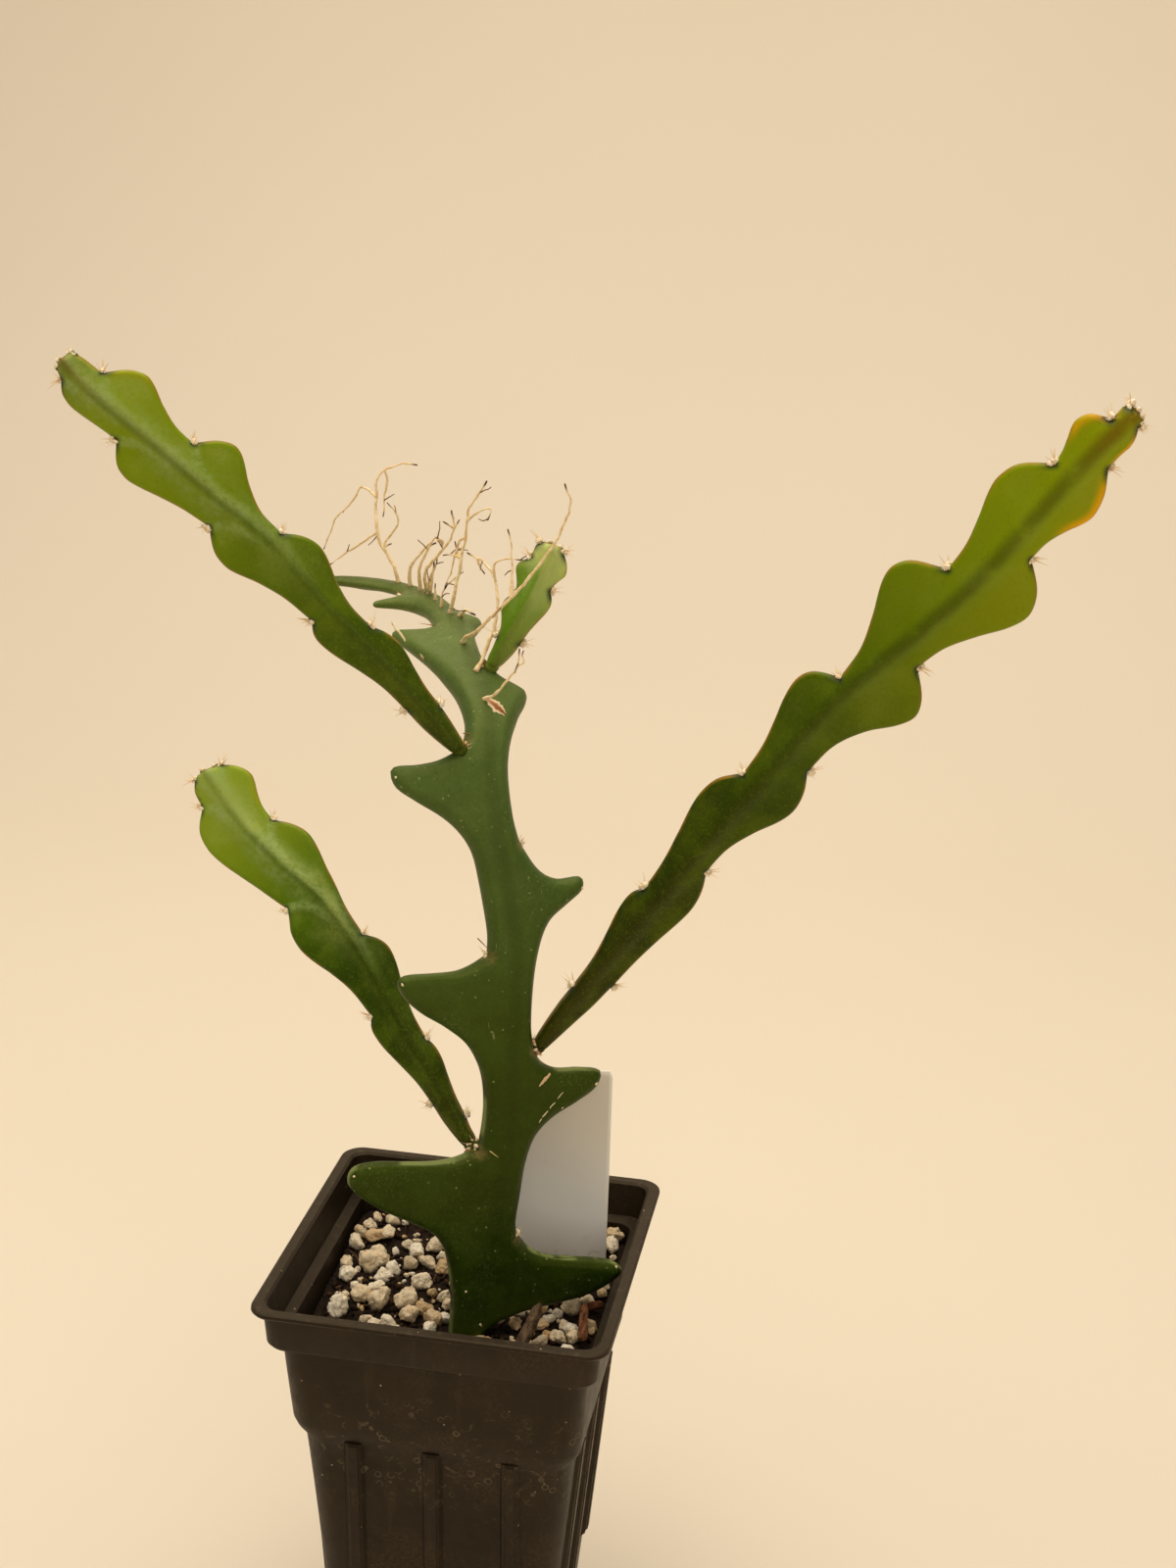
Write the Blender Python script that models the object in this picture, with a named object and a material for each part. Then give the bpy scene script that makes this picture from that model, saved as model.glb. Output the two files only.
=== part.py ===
"""A potted ric rac cactus at its real size, in metres, +Z up.

The origin is the centre of the pot's underside. The pot's faces look along X and Y, and its front is -Y.
Sizes below are in millimetres, and every mesh is made in metres.
"""
import math
import random

import bmesh
import bpy
import numpy as np
from mathutils import Vector
from mathutils.kdtree import KDTree

MM = 0.001
GAP = 0.35  # between pieces that touch

# Pot: height, half width and corner radius, from the foot up the outside, over the lip and down the inside
POT_SECTIONS = [
    (0.0, 26.2, 7.6),
    (1.2, 27.3, 8.5),
    (86.0, 34.5, 7.5),
    (89.5, 36.2, 7.2),
    (92.0, 36.9, 7.0),
    (115.0, 38.6, 6.2),
    (115.3, 40.9, 5.2),
    (116.2, 41.4, 5.0),
    (125.3, 42.0, 4.6),
    (125.4, 44.1, 5.4),
    (126.0, 44.5, 5.6),
    (126.7, 44.4, 5.6),
    (127.0, 44.0, 5.4),
    (127.0, 41.8, 4.4),
    (126.4, 41.1, 4.0),
    (117.4, 40.2, 3.9),
    (116.4, 37.6, 4.2),
    (92.6, 35.8, 5.9),
    (89.0, 34.5, 6.0),
    (86.4, 33.4, 6.4),
    (2.6, 26.3, 7.4),
    (1.6, 25.2, 6.4),
]
CORNER_STEPS = 4
RIB_PLACES = (-20.0, 0.0, 20.0)
RIB_FOOT, RIB_TOP = 29.0, 87.5
RIB_WIDTH, RIB_CREST_WIDTH = 6.4, 3.6
RIB_PROUD, RIB_SUNK = 1.5, 0.7
DRAIN_SPOTS = [(x, y) for x in (-16.5, 0, 16.5) for y in (-16.5, 0, 16.5) if (x, y) != (0, 0)]
DRAIN_RADIUS, DRAIN_DEPTH = 3.6, 8.0

# Potting mix
SOIL_LEVEL = 111.0
SOIL_RISE = 0.06  # per mm towards the back
SOIL_HALF = 36.5
SOIL_CORNER = 5.5
STEM_HOLE_RADIUS, STEM_HOLE_SPARE = 5.2, 4.0
LABEL_SLOT_SPARE = 8.0

# Plant label
LABEL_WIDTH, LABEL_THICK = 34.0, 0.8
LABEL_FOOT, LABEL_TOP = 92.0, 169.5
LABEL_PLACE = (16.2, 21.0)
LABEL_BOW = 1.6

# Main stem: its midrib from the foot in the mix to the tip, the way its face looks, and its margins as
# (distance along the midrib above the soil line, distance from the midrib), one list for each lobe
MAIN_PATH = [
    (1.5, -16.8, 92), (3, -16, 108), (6, -14, 130), (10, -12, 149), (12, -10, 170), (12, -8, 192),
    (12, -6, 211), (9, -4, 227), (6, -2, 240), (3, 3, 253), (0, 13, 264), (-6, 26, 271),
    (-13, 41, 275.4), (-22, 58, 277), (-27.6, 67, 277.3), (-33.2, 75, 277.3), (-40, 81.5, 277.4),
    (-48, 85.5, 277.3), (-56, 87, 277.2), (-63, 87.5, 277.2),
]
MAIN_FACE = (0.42, -0.91, 0.0)
MAIN_STUB = 16.0  # how much of the path lies below the soil line
MAIN_LEFT = [
    [(-15, 2.6), (-8, 3.2), (2, 3.8), (12, 4.8), (19, 6.6), (25, 9.2), (29, 13.2), (31, 19), (33, 26),
     (36, 32.6), (40, 36.6), (44, 37.8), (47.4, 36.6), (49.2, 32), (49.6, 24), (50, 17), (51.4, 11.4),
     (54, 6.4)],
    [(54, 6.4), (63, 6.0), (71, 6.5), (77, 8), (82.5, 11.2), (86.5, 16.4), (90, 22.6), (94, 27),
     (98.4, 28.6), (100.4, 26.6), (100.7, 20), (101, 14.5), (102.5, 10.6), (105, 6.6)],
    [(105, 6.6), (111, 5.9), (123, 5.9), (131, 6.4), (136, 8.8), (140, 12.6), (144, 18.6), (147, 22.8),
     (150, 23.4), (150.8, 17), (151.7, 12.4), (153.6, 8.6), (156, 6)],
    [(156, 6), (162, 5.4), (172, 6.4), (180, 8.8), (187, 11.6), (194, 14.6), (200, 16.6), (203.2, 16.6),
     (202.4, 12.4), (202.2, 8.6), (204, 5.6)],
    [(204, 5.6), (210, 4.4), (216, 4), (221, 4.2), (225, 5.2), (228, 7.4), (229.8, 10), (231, 14.6),
     (232.6, 14), (233.6, 10.6), (235, 7.8), (237, 5.4), (239, 4)],
    [(239, 4), (243, 3), (247, 2.9), (251, 3.1), (256, 3.2), (261, 2.9), (266, 2.4)],
]
MAIN_RIGHT = [
    [(-15, 2.6), (-8, 3.2), (0, 3.6), (5, 6), (8.6, 12), (11.4, 20), (15, 30), (19.6, 36), (24.4, 38.4),
     (27.4, 35), (27.4, 27), (26.8, 20), (28, 13.5), (32, 8)],
    [(32, 8), (36, 6.6), (44, 6), (51, 6), (58, 7.6), (62.6, 11.6), (66.4, 18), (69.6, 22.4), (73.2, 23.2),
     (75.2, 17.5), (75.8, 11.6), (77.8, 8.2), (81, 6)],
    [(81, 6), (87, 5), (99, 5), (106, 6.5), (111, 9.6), (114, 14.6), (116.8, 19.0), (120, 19.0),
     (120.7, 13), (123.6, 9), (131, 5.6)],
    [(131, 5.6), (138, 4.8), (150, 4.8), (158, 5.8), (164, 8), (168, 10.4), (170.8, 11.2), (173, 9.4),
     (175.5, 6.6), (179, 4.6), (183, 3)],
    [(183, 3), (188, 2.9), (195, 3.3), (201, 4.6), (204.5, 6.6), (207.6, 8), (209.6, 6.6), (211.4, 4.8),
     (214, 4)],
    [(214, 4), (222, 4.2), (231, 4.4), (239, 4.2), (247, 4), (255, 3.8), (261, 3.4), (266, 2.4)],
]
# A stem's cut: its thickness at the midrib and in the wings, and "slim" as shares of that along the stem
MAIN_SECTION = {
    "core": 8.4, "core_reach": 11.0, "wing": 4.6, "edge": 2.6, "fold": 0.0,
    "slim": ((168, 1.0), (226, 0.55), (250, 0.34)),
}

# Young stems: the same, with each margin as areoles and lobe tips in turn, (along, out)
YOUNG_STEMS = {
    "upper_left_stem": {
        "path": [(-3.5, 0.65, 259.35), (-19, -3, 279), (-35, -7, 296), (-47, -10, 310), (-60, -13, 321),
                 (-71, -16, 331), (-85, -19, 343), (-91.35, -19.9, 350.25)],
        "face": (0.25, -0.95, 0.2),
        "left": [(15.5, 4.0), (42, 7.9), (47, 5.4), (71, 11.5), (80, 6.5), (101, 10.3), (108, 4.8),
                 (120, 5.7), (125, 3.2)],
        "right": [(11.5, 3.1), (30, 5.4), (36.5, 3.4), (59, 7.6), (66.5, 3.1), (87, 11.7), (94.5, 5.9),
                  (112, 10.9), (120, 4.8)],
        "fold": 7.0,
    },
    "right_stem": {
        "path": [(18.5, -5.3, 186.8), (26, -5, 200), (38, -7, 217), (57, -10, 245), (75, -13, 270),
                 (87, -15, 286), (112, -19, 312), (137, -24, 346), (143.7, -24.9, 353.1)],
        "face": (0.22, -0.95, 0.25),
        "left": [(19, 1.8), (47, 5.8), (52, 3.9), (81, 8.3), (90.5, 3.9), (116.5, 9.1), (123, 2.6),
                 (149, 14.3), (158, 5.8), (181, 11.2), (190.5, 4.2), (200, 7.0), (204.6, 2.2),
                 (207.9, 2.6), (209.1, 1.7)],
        "right": [(25.5, 5.8), (55, 8.1), (65, 4.9), (91, 10.9), (100.5, 7.0), (129, 15.7), (137.5, 6.8),
                  (162, 14.3), (171.5, 5.8), (187, 9.7), (196.8, 4.9), (203.4, 5.0), (207.8, 2.6)],
        "fold": 5.0,
    },
    "lower_left_stem": {
        "path": [(3.2, -10.2, 160.5), (-5, -5, 171), (-15, 1, 182), (-24, 7, 192), (-33, 12, 202),
                 (-43, 17, 211), (-55, 21, 218), (-67, 25, 227), (-76.5, 28, 237.5), (-77.7, 28.4, 239.1)],
        "face": (0.25, -0.95, 0.15),
        "left": [(13.5, 3.9), (37, 7.7), (41, 6.0), (68, 12.5), (79.5, 7.9), (104, 11.2), (112.6, 5.8),
                 (115.4, 5.6), (119.4, 3.4)],
        "right": [(7, 2.2), (25, 4.3), (29, 3.4), (54, 6.8), (60, 3.1), (89.5, 10.5), (98.5, 6.6),
                  (113, 9.4), (119.2, 4.4)],
        "fold": 6.0,
    },
    "top_stem": {
        "path": [(-1.2, 24, 274), (2, 24, 281), (7, 25, 290), (10, 27, 297), (12.3, 29.3, 304.9)],
        "face": (0.1, -0.95, 0.3),
        "left": [(8, 2.3), (15, 5.6), (19, 4.2), (26, 6.8), (29.4, 4.1), (32.6, 4.0), (33.8, 2.8)],
        "right": [(10, 2.4), (20.5, 4.9), (23.5, 3.6), (28.5, 5.4), (33.3, 3.0)],
        "fold": 16.0,
    },
}
YOUNG_SECTION = {"core": 5.0, "core_reach": 2.6, "wing": 2.2, "edge": 1.1, "slim": ((0, 1.0), (1, 1.0))}
YOUNG_FOOT_HALF = 1.9
# A lobe's rise from its areole to its tip on each side, as (share of the way along, share of the way out)
YOUNG_RISE = {-1: ((0.30, 0.17), (0.58, 0.53), (0.83, 0.90)), 1: ((0.30, 0.06), (0.58, 0.42), (0.83, 0.88))}
# Half way down from a lobe's tip to the next areole, the share of the height that is left
YOUNG_DROP = {-1: 0.78, 1: 0.70}

# How fine each stem's mesh is: the rows' spacing, and where the columns lie from midrib to margin
MAIN_GRID = (4.6, (0.5, 0.84, 1.0))
YOUNG_GRID = (3.4, (0.45, 0.86, 1.0))

# Spines: a fan of three at each areole, or one to each side where a young stem grows
SPINE_FAN = (-50, 0, 50)
SPINE_FAN_AT_STEM = (-88, 88)
STEM_FOOT_REACH = 5.0
SPINE_RADIUS, SPINE_TIP_RADIUS = 0.28, 0.03
SPINE_SUNK = 1.1
SPINE_SPREAD = 0.8
SPINES_MAIN = (2.6, 4.4)
SPINES_YOUNG = (3.0, 5.0)

# Aerial roots: each root, then its side roots. A root's first pair is its seat on the main stem's face, as
# (distance along the midrib above the soil line, distance across it)
ROOT_RADIUS, SIDE_ROOT_RADIUS = 0.55, 0.4
ROOT_TAPER = 0.45
ROOTS = {
    "aerial_root_far": [
        [(247.5, 1.0), (-42, 83.5, 283), (-44, 84.5, 286), (-47, 85.5, 290.5), (-48, 87, 296),
         (-48.5, 88.5, 303), (-47.5, 89.5, 307.5), (-43, 91, 310), (-38, 92, 310)],
        [(-45.5, 85, 288), (-44.5, 85, 290.5), (-41, 83, 295), (-41.5, 81, 299.5), (-43, 80, 301.5)],
        [(-48.5, 88.5, 301), (-53.5, 91.5, 303), (-56, 93, 299), (-61.5, 95, 293.5), (-64.5, 97, 287.5),
         (-66.5, 98.5, 283)],
        [(-47.5, 86, 291.5), (-53.5, 90, 287.5), (-58, 92.5, 284), (-64, 96, 279.5)],
        [(-46.7, 90, 308.2), (-46, 90.5, 305), (-46.5, 90, 301), (-46.5, 88.5, 295.5)],
    ],
    "aerial_root_hook": [
        [(242.5, 1), (-36.5, 79.5, 284), (-33, 78, 289), (-28.5, 76.5, 293.5), (-27, 76, 293)],
    ],
    "aerial_root_bent": [[(237, 1), (-32.5, 74.5, 285.5), (-30, 73.5, 291.5), (-28, 73.5, 293)]],
    "aerial_root_pale": [
        [(233.5, 1.2), (-29.5, 69, 286), (-26, 67.5, 290.5), (-23.5, 66.5, 294), (-21, 65.5, 299),
         (-21.5, 64, 304)],
    ],
    "aerial_root_straight": [[(230, 0.6), (-27.5, 65.5, 285.5), (-26.5, 64.5, 288), (-26, 64, 290)]],
    "aerial_root_forked": [
        [(209.5, 0), (-17.5, 51, 284), (-16.5, 52, 291), (-15, 53, 299.5), (-14.5, 53.5, 306.5),
         (-11.5, 52.5, 311.5), (-9.5, 52, 314.5)],
        [(-14.5, 53, 303.5), (-12, 52, 306.5), (-8, 51, 307.5), (-8.5, 50, 305)],
        [(-15, 53, 299.5), (-17, 54.5, 298), (-19.5, 56, 290), (-21.5, 57.5, 284.5)],
    ],
    "aerial_root_arched": [
        [(176.5, -0.75), (-2.5, 26.5, 279.5), (-1.5, 29.5, 286), (-2, 32, 291.5), (-5, 35, 296.5),
         (-11, 38, 299)],
        [(-2.8, 32.8, 293.3), (-3, 33, 297.5), (0.5, 32.5, 299.5), (4.5, 32, 299.5)],
    ],
    "aerial_root_long": [
        [(189.5, -1.5), (-8, 29, 280.5), (-4.5, 23.5, 283.5), (1, 20, 290), (6, 19, 295), (11, 18, 301.5),
         (14.5, 17.5, 306.5), (17, 17, 312.5), (18.5, 17, 318.5), (17, 17, 322)],
        [(3.8, 19.5, 293), (4, 21, 299), (3.5, 22, 305), (2.5, 22.5, 309)],
    ],
    "aerial_root_low": [[(166.5, -0.75), (4, 10, 273), (6.5, 9.5, 276), (8.5, 8.5, 279.5), (9, 7, 284)]],
    "aerial_root_back": [[(207, 2), (-13.5, 47.5, 281.5), (-10.5, 46.5, 280.8)]],
}

# Pumice and bark
STONE_COUNT = 78
STONE_RADII = (3.3, 4.8)
STONE_OVERLAP = 0.72  # how far apart two that touch stand, over the sum of their radii
STONE_TALL = 0.85
STONE_LIFT = 0.4  # of the radius, from the mix to a stone's middle
STONE_CLEARANCE = 0.4
FIRST_STONE = (Vector((-16, -8, 0)), 4.2)
STONE_TRIES = 60000
STONE_SEED = 11
BARK_PIECES = {
    "bark_stick": ((18.3, -27.6, 111.6), (22.8, -15.6, 121.9), 2.1),
    "bark_chip_upright": ((33.7, -15.6, 112.2), (32.5, -5.8, 117.4), 1.4),
    "bark_chip_flat": ((32.2, -1.0, 113.2), (36.0, 1.2, 113.4), 1.5),
}

MATERIALS = {
    "black_plastic": ((0.035, 0.032, 0.030), 0.55),
    "potting_mix": ((0.030, 0.020, 0.014), 0.95),
    "pumice": ((0.72, 0.66, 0.52), 0.9),
    "bark": ((0.16, 0.09, 0.055), 0.9),
    "label_plastic": ((0.62, 0.60, 0.56), 0.4),
    "old_stem": ((0.05, 0.13, 0.05), 0.45),
    "young_stem": ((0.10, 0.24, 0.02), 0.4),
    "aerial_root": ((0.50, 0.33, 0.16), 0.8),
}


def clear_scene():
    for obj in list(bpy.data.objects):
        bpy.data.objects.remove(obj, do_unlink=True)


def new_collection(name):
    collection = bpy.data.collections.new(name)
    bpy.context.scene.collection.children.link(collection)
    return collection


def make_materials():
    made = {}
    for name, (colour, roughness) in MATERIALS.items():
        material = bpy.data.materials.new(name)
        material.use_nodes = True
        shader = material.node_tree.nodes["Principled BSDF"]
        shader.inputs["Base Color"].default_value = (*colour, 1)
        shader.inputs["Roughness"].default_value = roughness
        shader.inputs["Metallic"].default_value = 0
        made[name] = material
    return made


def mesh_object(name, bm, collection, material=None):
    """The object of a bmesh that is in millimetres."""
    bmesh.ops.scale(bm, vec=(MM, MM, MM), verts=bm.verts)
    bmesh.ops.recalc_face_normals(bm, faces=bm.faces)
    mesh = bpy.data.meshes.new(name)
    bm.to_mesh(mesh)
    bm.free()
    mesh.shade_smooth()
    mesh.set_sharp_from_angle(angle=math.radians(40))
    obj = bpy.data.objects.new(name, mesh)
    if material:
        obj.data.materials.append(material)
    collection.objects.link(obj)
    return obj


def apply_modifiers(obj):
    """Replaces the object's mesh with its evaluated one."""
    graph = bpy.context.evaluated_depsgraph_get()
    mesh = bpy.data.meshes.new_from_object(obj.evaluated_get(graph))
    obj.modifiers.clear()
    old = obj.data
    obj.data = mesh
    bpy.data.meshes.remove(old)


def join_all(obj, collection, operation="UNION", solver="EXACT"):
    """One Boolean of the object with all that the collection holds, applied, and the collection emptied."""
    modifier = obj.modifiers.new(operation.title(), "BOOLEAN")
    modifier.operation = operation
    modifier.operand_type = "COLLECTION"
    modifier.collection = collection
    modifier.solver = solver
    apply_modifiers(obj)
    for helper in list(collection.objects):
        bpy.data.objects.remove(helper, do_unlink=True)
    bpy.data.collections.remove(collection)


def loft(bm, rings):
    """Bridges rings of equal count in turn and fills both ends."""
    rows = [[bm.verts.new(point) for point in ring] for ring in rings]
    for low, high in zip(rows, rows[1:]):
        for i, corner in enumerate(low):
            after = (i + 1) % len(low)
            bm.faces.new((corner, low[after], high[after], high[i]))
    bm.faces.new(rows[0][::-1])
    bm.faces.new(rows[-1])


def rounded_square(half, radius, height):
    """A square's outline with round corners, anticlockwise from the +X side."""
    points = []
    for corner, (sx, sy) in enumerate(((1, 1), (-1, 1), (-1, -1), (1, -1))):
        for step in range(CORNER_STEPS + 1):
            angle = (corner + step / CORNER_STEPS) * math.pi / 2
            x = sx * (half - radius) + radius * math.cos(angle)
            y = sy * (half - radius) + radius * math.sin(angle)
            points.append((x, y, height))
    return points


def half_width(height, sections):
    """The half width of the pot between two of its sections."""
    heights = [section[0] for section in sections]
    halves = [section[1] for section in sections]
    return float(np.interp(height, heights, halves))


def make_pot(parts, materials):
    bm = bmesh.new()
    loft(bm, [rounded_square(half, radius, height) for height, half, radius in POT_SECTIONS])
    pot = mesh_object("pot", bm, parts, materials["black_plastic"])
    ribs = new_collection("ribs")
    for side in range(4):
        for place in RIB_PLACES:
            ribs.objects.link(rib_object(place, side))
    join_all(pot, ribs)
    drains = new_collection("drains")
    for x, y in DRAIN_SPOTS:
        bm = bmesh.new()
        bmesh.ops.create_cone(
            bm, cap_ends=True, segments=10, radius1=DRAIN_RADIUS, radius2=DRAIN_RADIUS, depth=DRAIN_DEPTH
        )
        bmesh.ops.translate(bm, vec=(x, y, 0), verts=bm.verts)
        mesh_object(f"drain_{x:.0f}_{y:.0f}", bm, drains)
    join_all(pot, drains, "DIFFERENCE")


def rib_object(place, side):
    """A tapered bar on the lower body, slanted off at its foot."""
    outer = POT_SECTIONS[1:3]
    bm = bmesh.new()
    bmesh.ops.create_cube(bm, size=2)
    for vert in bm.verts:
        crest = vert.co.y < 0
        height = RIB_TOP if vert.co.z > 0 else RIB_FOOT
        if crest and vert.co.z < 0:
            height += RIB_PROUD
        wall = half_width(height, outer)
        vert.co = Vector((
            place + vert.co.x * (RIB_CREST_WIDTH if crest else RIB_WIDTH) / 2,
            -(wall + (RIB_PROUD if crest else -RIB_SUNK)),
            height,
        ))
    bmesh.ops.scale(bm, vec=(MM, MM, MM), verts=bm.verts)
    bmesh.ops.recalc_face_normals(bm, faces=bm.faces)
    mesh = bpy.data.meshes.new("rib")
    bm.to_mesh(mesh)
    bm.free()
    obj = bpy.data.objects.new("rib", mesh)
    obj.rotation_euler.z = side * math.pi / 2
    return obj


def soil_height(y):
    """The surface of the potting mix, rising to the back."""
    return SOIL_LEVEL + SOIL_RISE * y


def make_potting_mix(parts, materials):
    inside = POT_SECTIONS[17:21]
    rings = []
    for height, half, radius in reversed(inside):
        lift = GAP if height == inside[-1][0] else 0
        rings.append(rounded_square(half - GAP, radius - GAP, height + lift))
    surface = rounded_square(SOIL_HALF, SOIL_CORNER, 0)
    rings.append([(x, y, soil_height(y)) for x, y, _ in surface])
    bm = bmesh.new()
    loft(bm, rings)
    soil = mesh_object("potting_mix", bm, parts, materials["potting_mix"])
    holes = new_collection("holes")
    foot, ground = (Vector(place) for place in MAIN_PATH[:2])
    way = (ground - foot).normalized()
    depth = (ground - foot).length + 2 * STEM_HOLE_SPARE
    bm = bmesh.new()
    bmesh.ops.create_cone(
        bm, cap_ends=True, segments=14, radius1=STEM_HOLE_RADIUS, radius2=STEM_HOLE_RADIUS, depth=depth
    )
    bmesh.ops.rotate(bm, matrix=Vector((0, 0, 1)).rotation_difference(way).to_matrix(), verts=bm.verts)
    bmesh.ops.translate(bm, vec=foot + way * (depth / 2 - 1), verts=bm.verts)
    mesh_object("stem_hole", bm, holes)
    slot_top = SOIL_LEVEL + LABEL_SLOT_SPARE
    bm = label_mesh(LABEL_FOOT - GAP, slot_top, LABEL_WIDTH + 2 * GAP, LABEL_THICK + 2 * GAP)
    mesh_object("label_slot", bm, holes)
    join_all(soil, holes, "DIFFERENCE")


def label_mesh(foot, top, width, thick):
    """An upright strip, bowed across its width."""
    columns = 6
    outline = []
    for face in (1, -1):
        for step in range(columns + 1):
            across = face * (1 - 2 * step / columns)
            bow = LABEL_BOW * (across * across - 1)
            outline.append((LABEL_PLACE[0] + across * width / 2, LABEL_PLACE[1] + bow + face * thick / 2))
    bm = bmesh.new()
    loft(bm, [[(x, y, height) for x, y in outline] for height in (foot, top)])
    return bm


def make_label(parts, materials):
    bm = label_mesh(LABEL_FOOT, LABEL_TOP, LABEL_WIDTH, LABEL_THICK)
    mesh_object("plant_label", bm, parts, materials["label_plastic"])


class Stem:
    """A flat leafless stem: a midrib in space, the way its face looks along it, and its two margins."""

    def __init__(self, path, face, margins, section, stub=0.0):
        self.section = section
        self.stub = stub
        knots = np.array(path, float)
        chords = np.r_[0, np.cumsum(np.linalg.norm(np.diff(knots, axis=0), axis=1))]
        dense = np.linspace(0, chords[-1], 300)
        self.points = np.array([spline_at(chords, knots, value) for value in dense])
        steps = np.linalg.norm(np.diff(self.points, axis=0), axis=1)
        self.along = np.r_[0, np.cumsum(steps)]
        self.length = self.along[-1]
        self.tangents = np.gradient(self.points, self.along, axis=0)
        self.tangents /= np.linalg.norm(self.tangents, axis=1)[:, None]
        self.normals = np.empty_like(self.points)
        normal = np.array(face, float)
        for i, tangent in enumerate(self.tangents):
            normal = normal - normal.dot(tangent) * tangent
            normal /= np.linalg.norm(normal)
            self.normals[i] = normal
        self.acrosses = np.cross(self.tangents, self.normals)
        self.margins = {side: self.closed_margin(margins[side]) for side in (-1, 1)}

    def closed_margin(self, lobes):
        """The margin's line, where each of its points' rows starts on the midrib, and the areoles."""
        line = [(0.0, 0.0)]
        rows = [0.0]
        areoles = []
        for lobe in lobes:
            smooth = np.array(rounded_line([(along + self.stub, out) for along, out in lobe]))
            starts = fanned_rows(smooth)
            first = 0 if len(line) == 1 else 1
            line += [tuple(point) for point in smooth[first:]]
            rows += list(starts[first:])
            areoles.append(line[-1])
        line.append((self.length, 0.0))
        rows.append(self.length)
        line = np.array(line)
        travelled = np.r_[0, np.cumsum(np.linalg.norm(np.diff(line, axis=0), axis=1))]
        rows = np.maximum.accumulate(rows) + np.linspace(0, 1e-6, len(rows))
        return {"line": line, "rows": rows, "travelled": travelled, "areoles": areoles[:-1]}

    def frame_at(self, along):
        return [
            np.array([np.interp(along, self.along, values[:, axis]) for axis in range(3)])
            for values in (self.points, self.acrosses, self.normals)
        ]

    def place(self, along, out, lift=0.0):
        """The point in space that far along the midrib, out across it and proud of its middle plane."""
        along = min(max(along, 0.0), self.length)
        point, across, normal = self.frame_at(along)
        fold = abs(out) * math.tan(math.radians(self.section["fold"]))
        return point + out * across + (lift - fold) * normal

    def half_thickness(self, along, out):
        line = self.margins[-1 if out < 0 else 1]["line"]
        inset = distance_to_line((along, abs(out)), line)
        core = math.exp(-((out / self.section["core_reach"]) ** 2))
        thick = self.section["wing"] + (self.section["core"] - self.section["wing"]) * core
        places, shares = zip(*self.section["slim"])
        thick *= float(np.interp(along - self.stub, places, shares))
        edge = max(self.section["edge"], 0.3 * thick * core)
        shrink = 1 - min(inset / edge, 1)
        return thick / 2 * math.sqrt(max(1 - shrink * shrink, 0))

    def areoles(self):
        """Each areole as (along, out), out below zero on the left."""
        return [(along, side * out) for side in (-1, 1) for along, out in self.margins[side]["areoles"]]

    def mesh(self, step, columns):
        """The stem's surface in rows from margin to margin, closed to a point at both ends."""
        stations = self.stations(step)
        bm = bmesh.new()
        rings = []
        for station in stations[1:-1]:
            rings.append([bm.verts.new(point) for point in self.ring(station, columns)])
        count = 4 * len(columns)
        for low, high in zip(rings, rings[1:]):
            for i in range(count):
                after = (i + 1) % count
                bm.faces.new((low[i], low[after], high[after], high[i]))
        for ring, end in ((rings[0], 0.0), (rings[-1], self.length)):
            pole = bm.verts.new(self.place(end, 0.0))
            for i in range(count):
                bm.faces.new((ring[i], ring[(i + 1) % count], pole))
        return bm

    def stations(self, step):
        """Places along the midrib, closer together where a margin runs out to a lobe's tip."""
        dense = np.linspace(0, self.length, 2000)
        ends = [np.array([self.margin_point(side, value) for value in dense]) for side in (-1, 1)]
        speed = np.max([np.linalg.norm(np.diff(end, axis=0), axis=1) for end in ends], axis=0)
        travelled = np.r_[0, np.cumsum(speed)]
        count = max(int(travelled[-1] / step), 6)
        stations = np.interp(np.linspace(0, travelled[-1], count + 1), travelled, dense)
        for along, _ in self.areoles():
            nearest = 1 + int(np.argmin(np.abs(stations[1:-1] - along)))
            stations[nearest] = along
        return np.unique(stations)

    def margin_point(self, side, station):
        """The margin's point for the row that starts at that station of the midrib."""
        margin = self.margins[side]
        travelled = np.interp(station, margin["rows"], margin["travelled"])
        line = margin["line"]
        return np.array([np.interp(travelled, margin["travelled"], line[:, axis]) for axis in (0, 1)])

    def ring(self, station, columns):
        """One row's points: the face from the left margin to the right, then the back again."""
        ends = {side: self.margin_point(side, station) for side in (-1, 1)}
        face = []
        for side, shares in ((-1, columns[::-1]), (1, columns)):
            for share in shares:
                face.append((side, share))
            if side == -1:
                face.append((1, 0.0))
        points = []
        for lift, row in ((1, face), (-1, face[1:-1][::-1])):
            for side, share in row:
                along = station + (ends[side][0] - station) * share
                out = side * ends[side][1] * share
                half = 0.0 if share == 1.0 else self.half_thickness(along, out)
                points.append(self.place(along, out, lift * half))
        return points


def fanned_rows(lobe):
    """Where on the midrib the row to each point of a lobe's edge starts: rows fan out of the lobe's root."""
    along, out = lobe[:, 0], lobe[:, 1]
    reach = out.max() - out.min()
    share = (out - out.min()) / max(reach, 1e-6)
    root = along[share > 0.5].mean()
    pull = 0.8 * reach / (reach + 6)
    return along + share * pull * (root - along)


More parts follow.
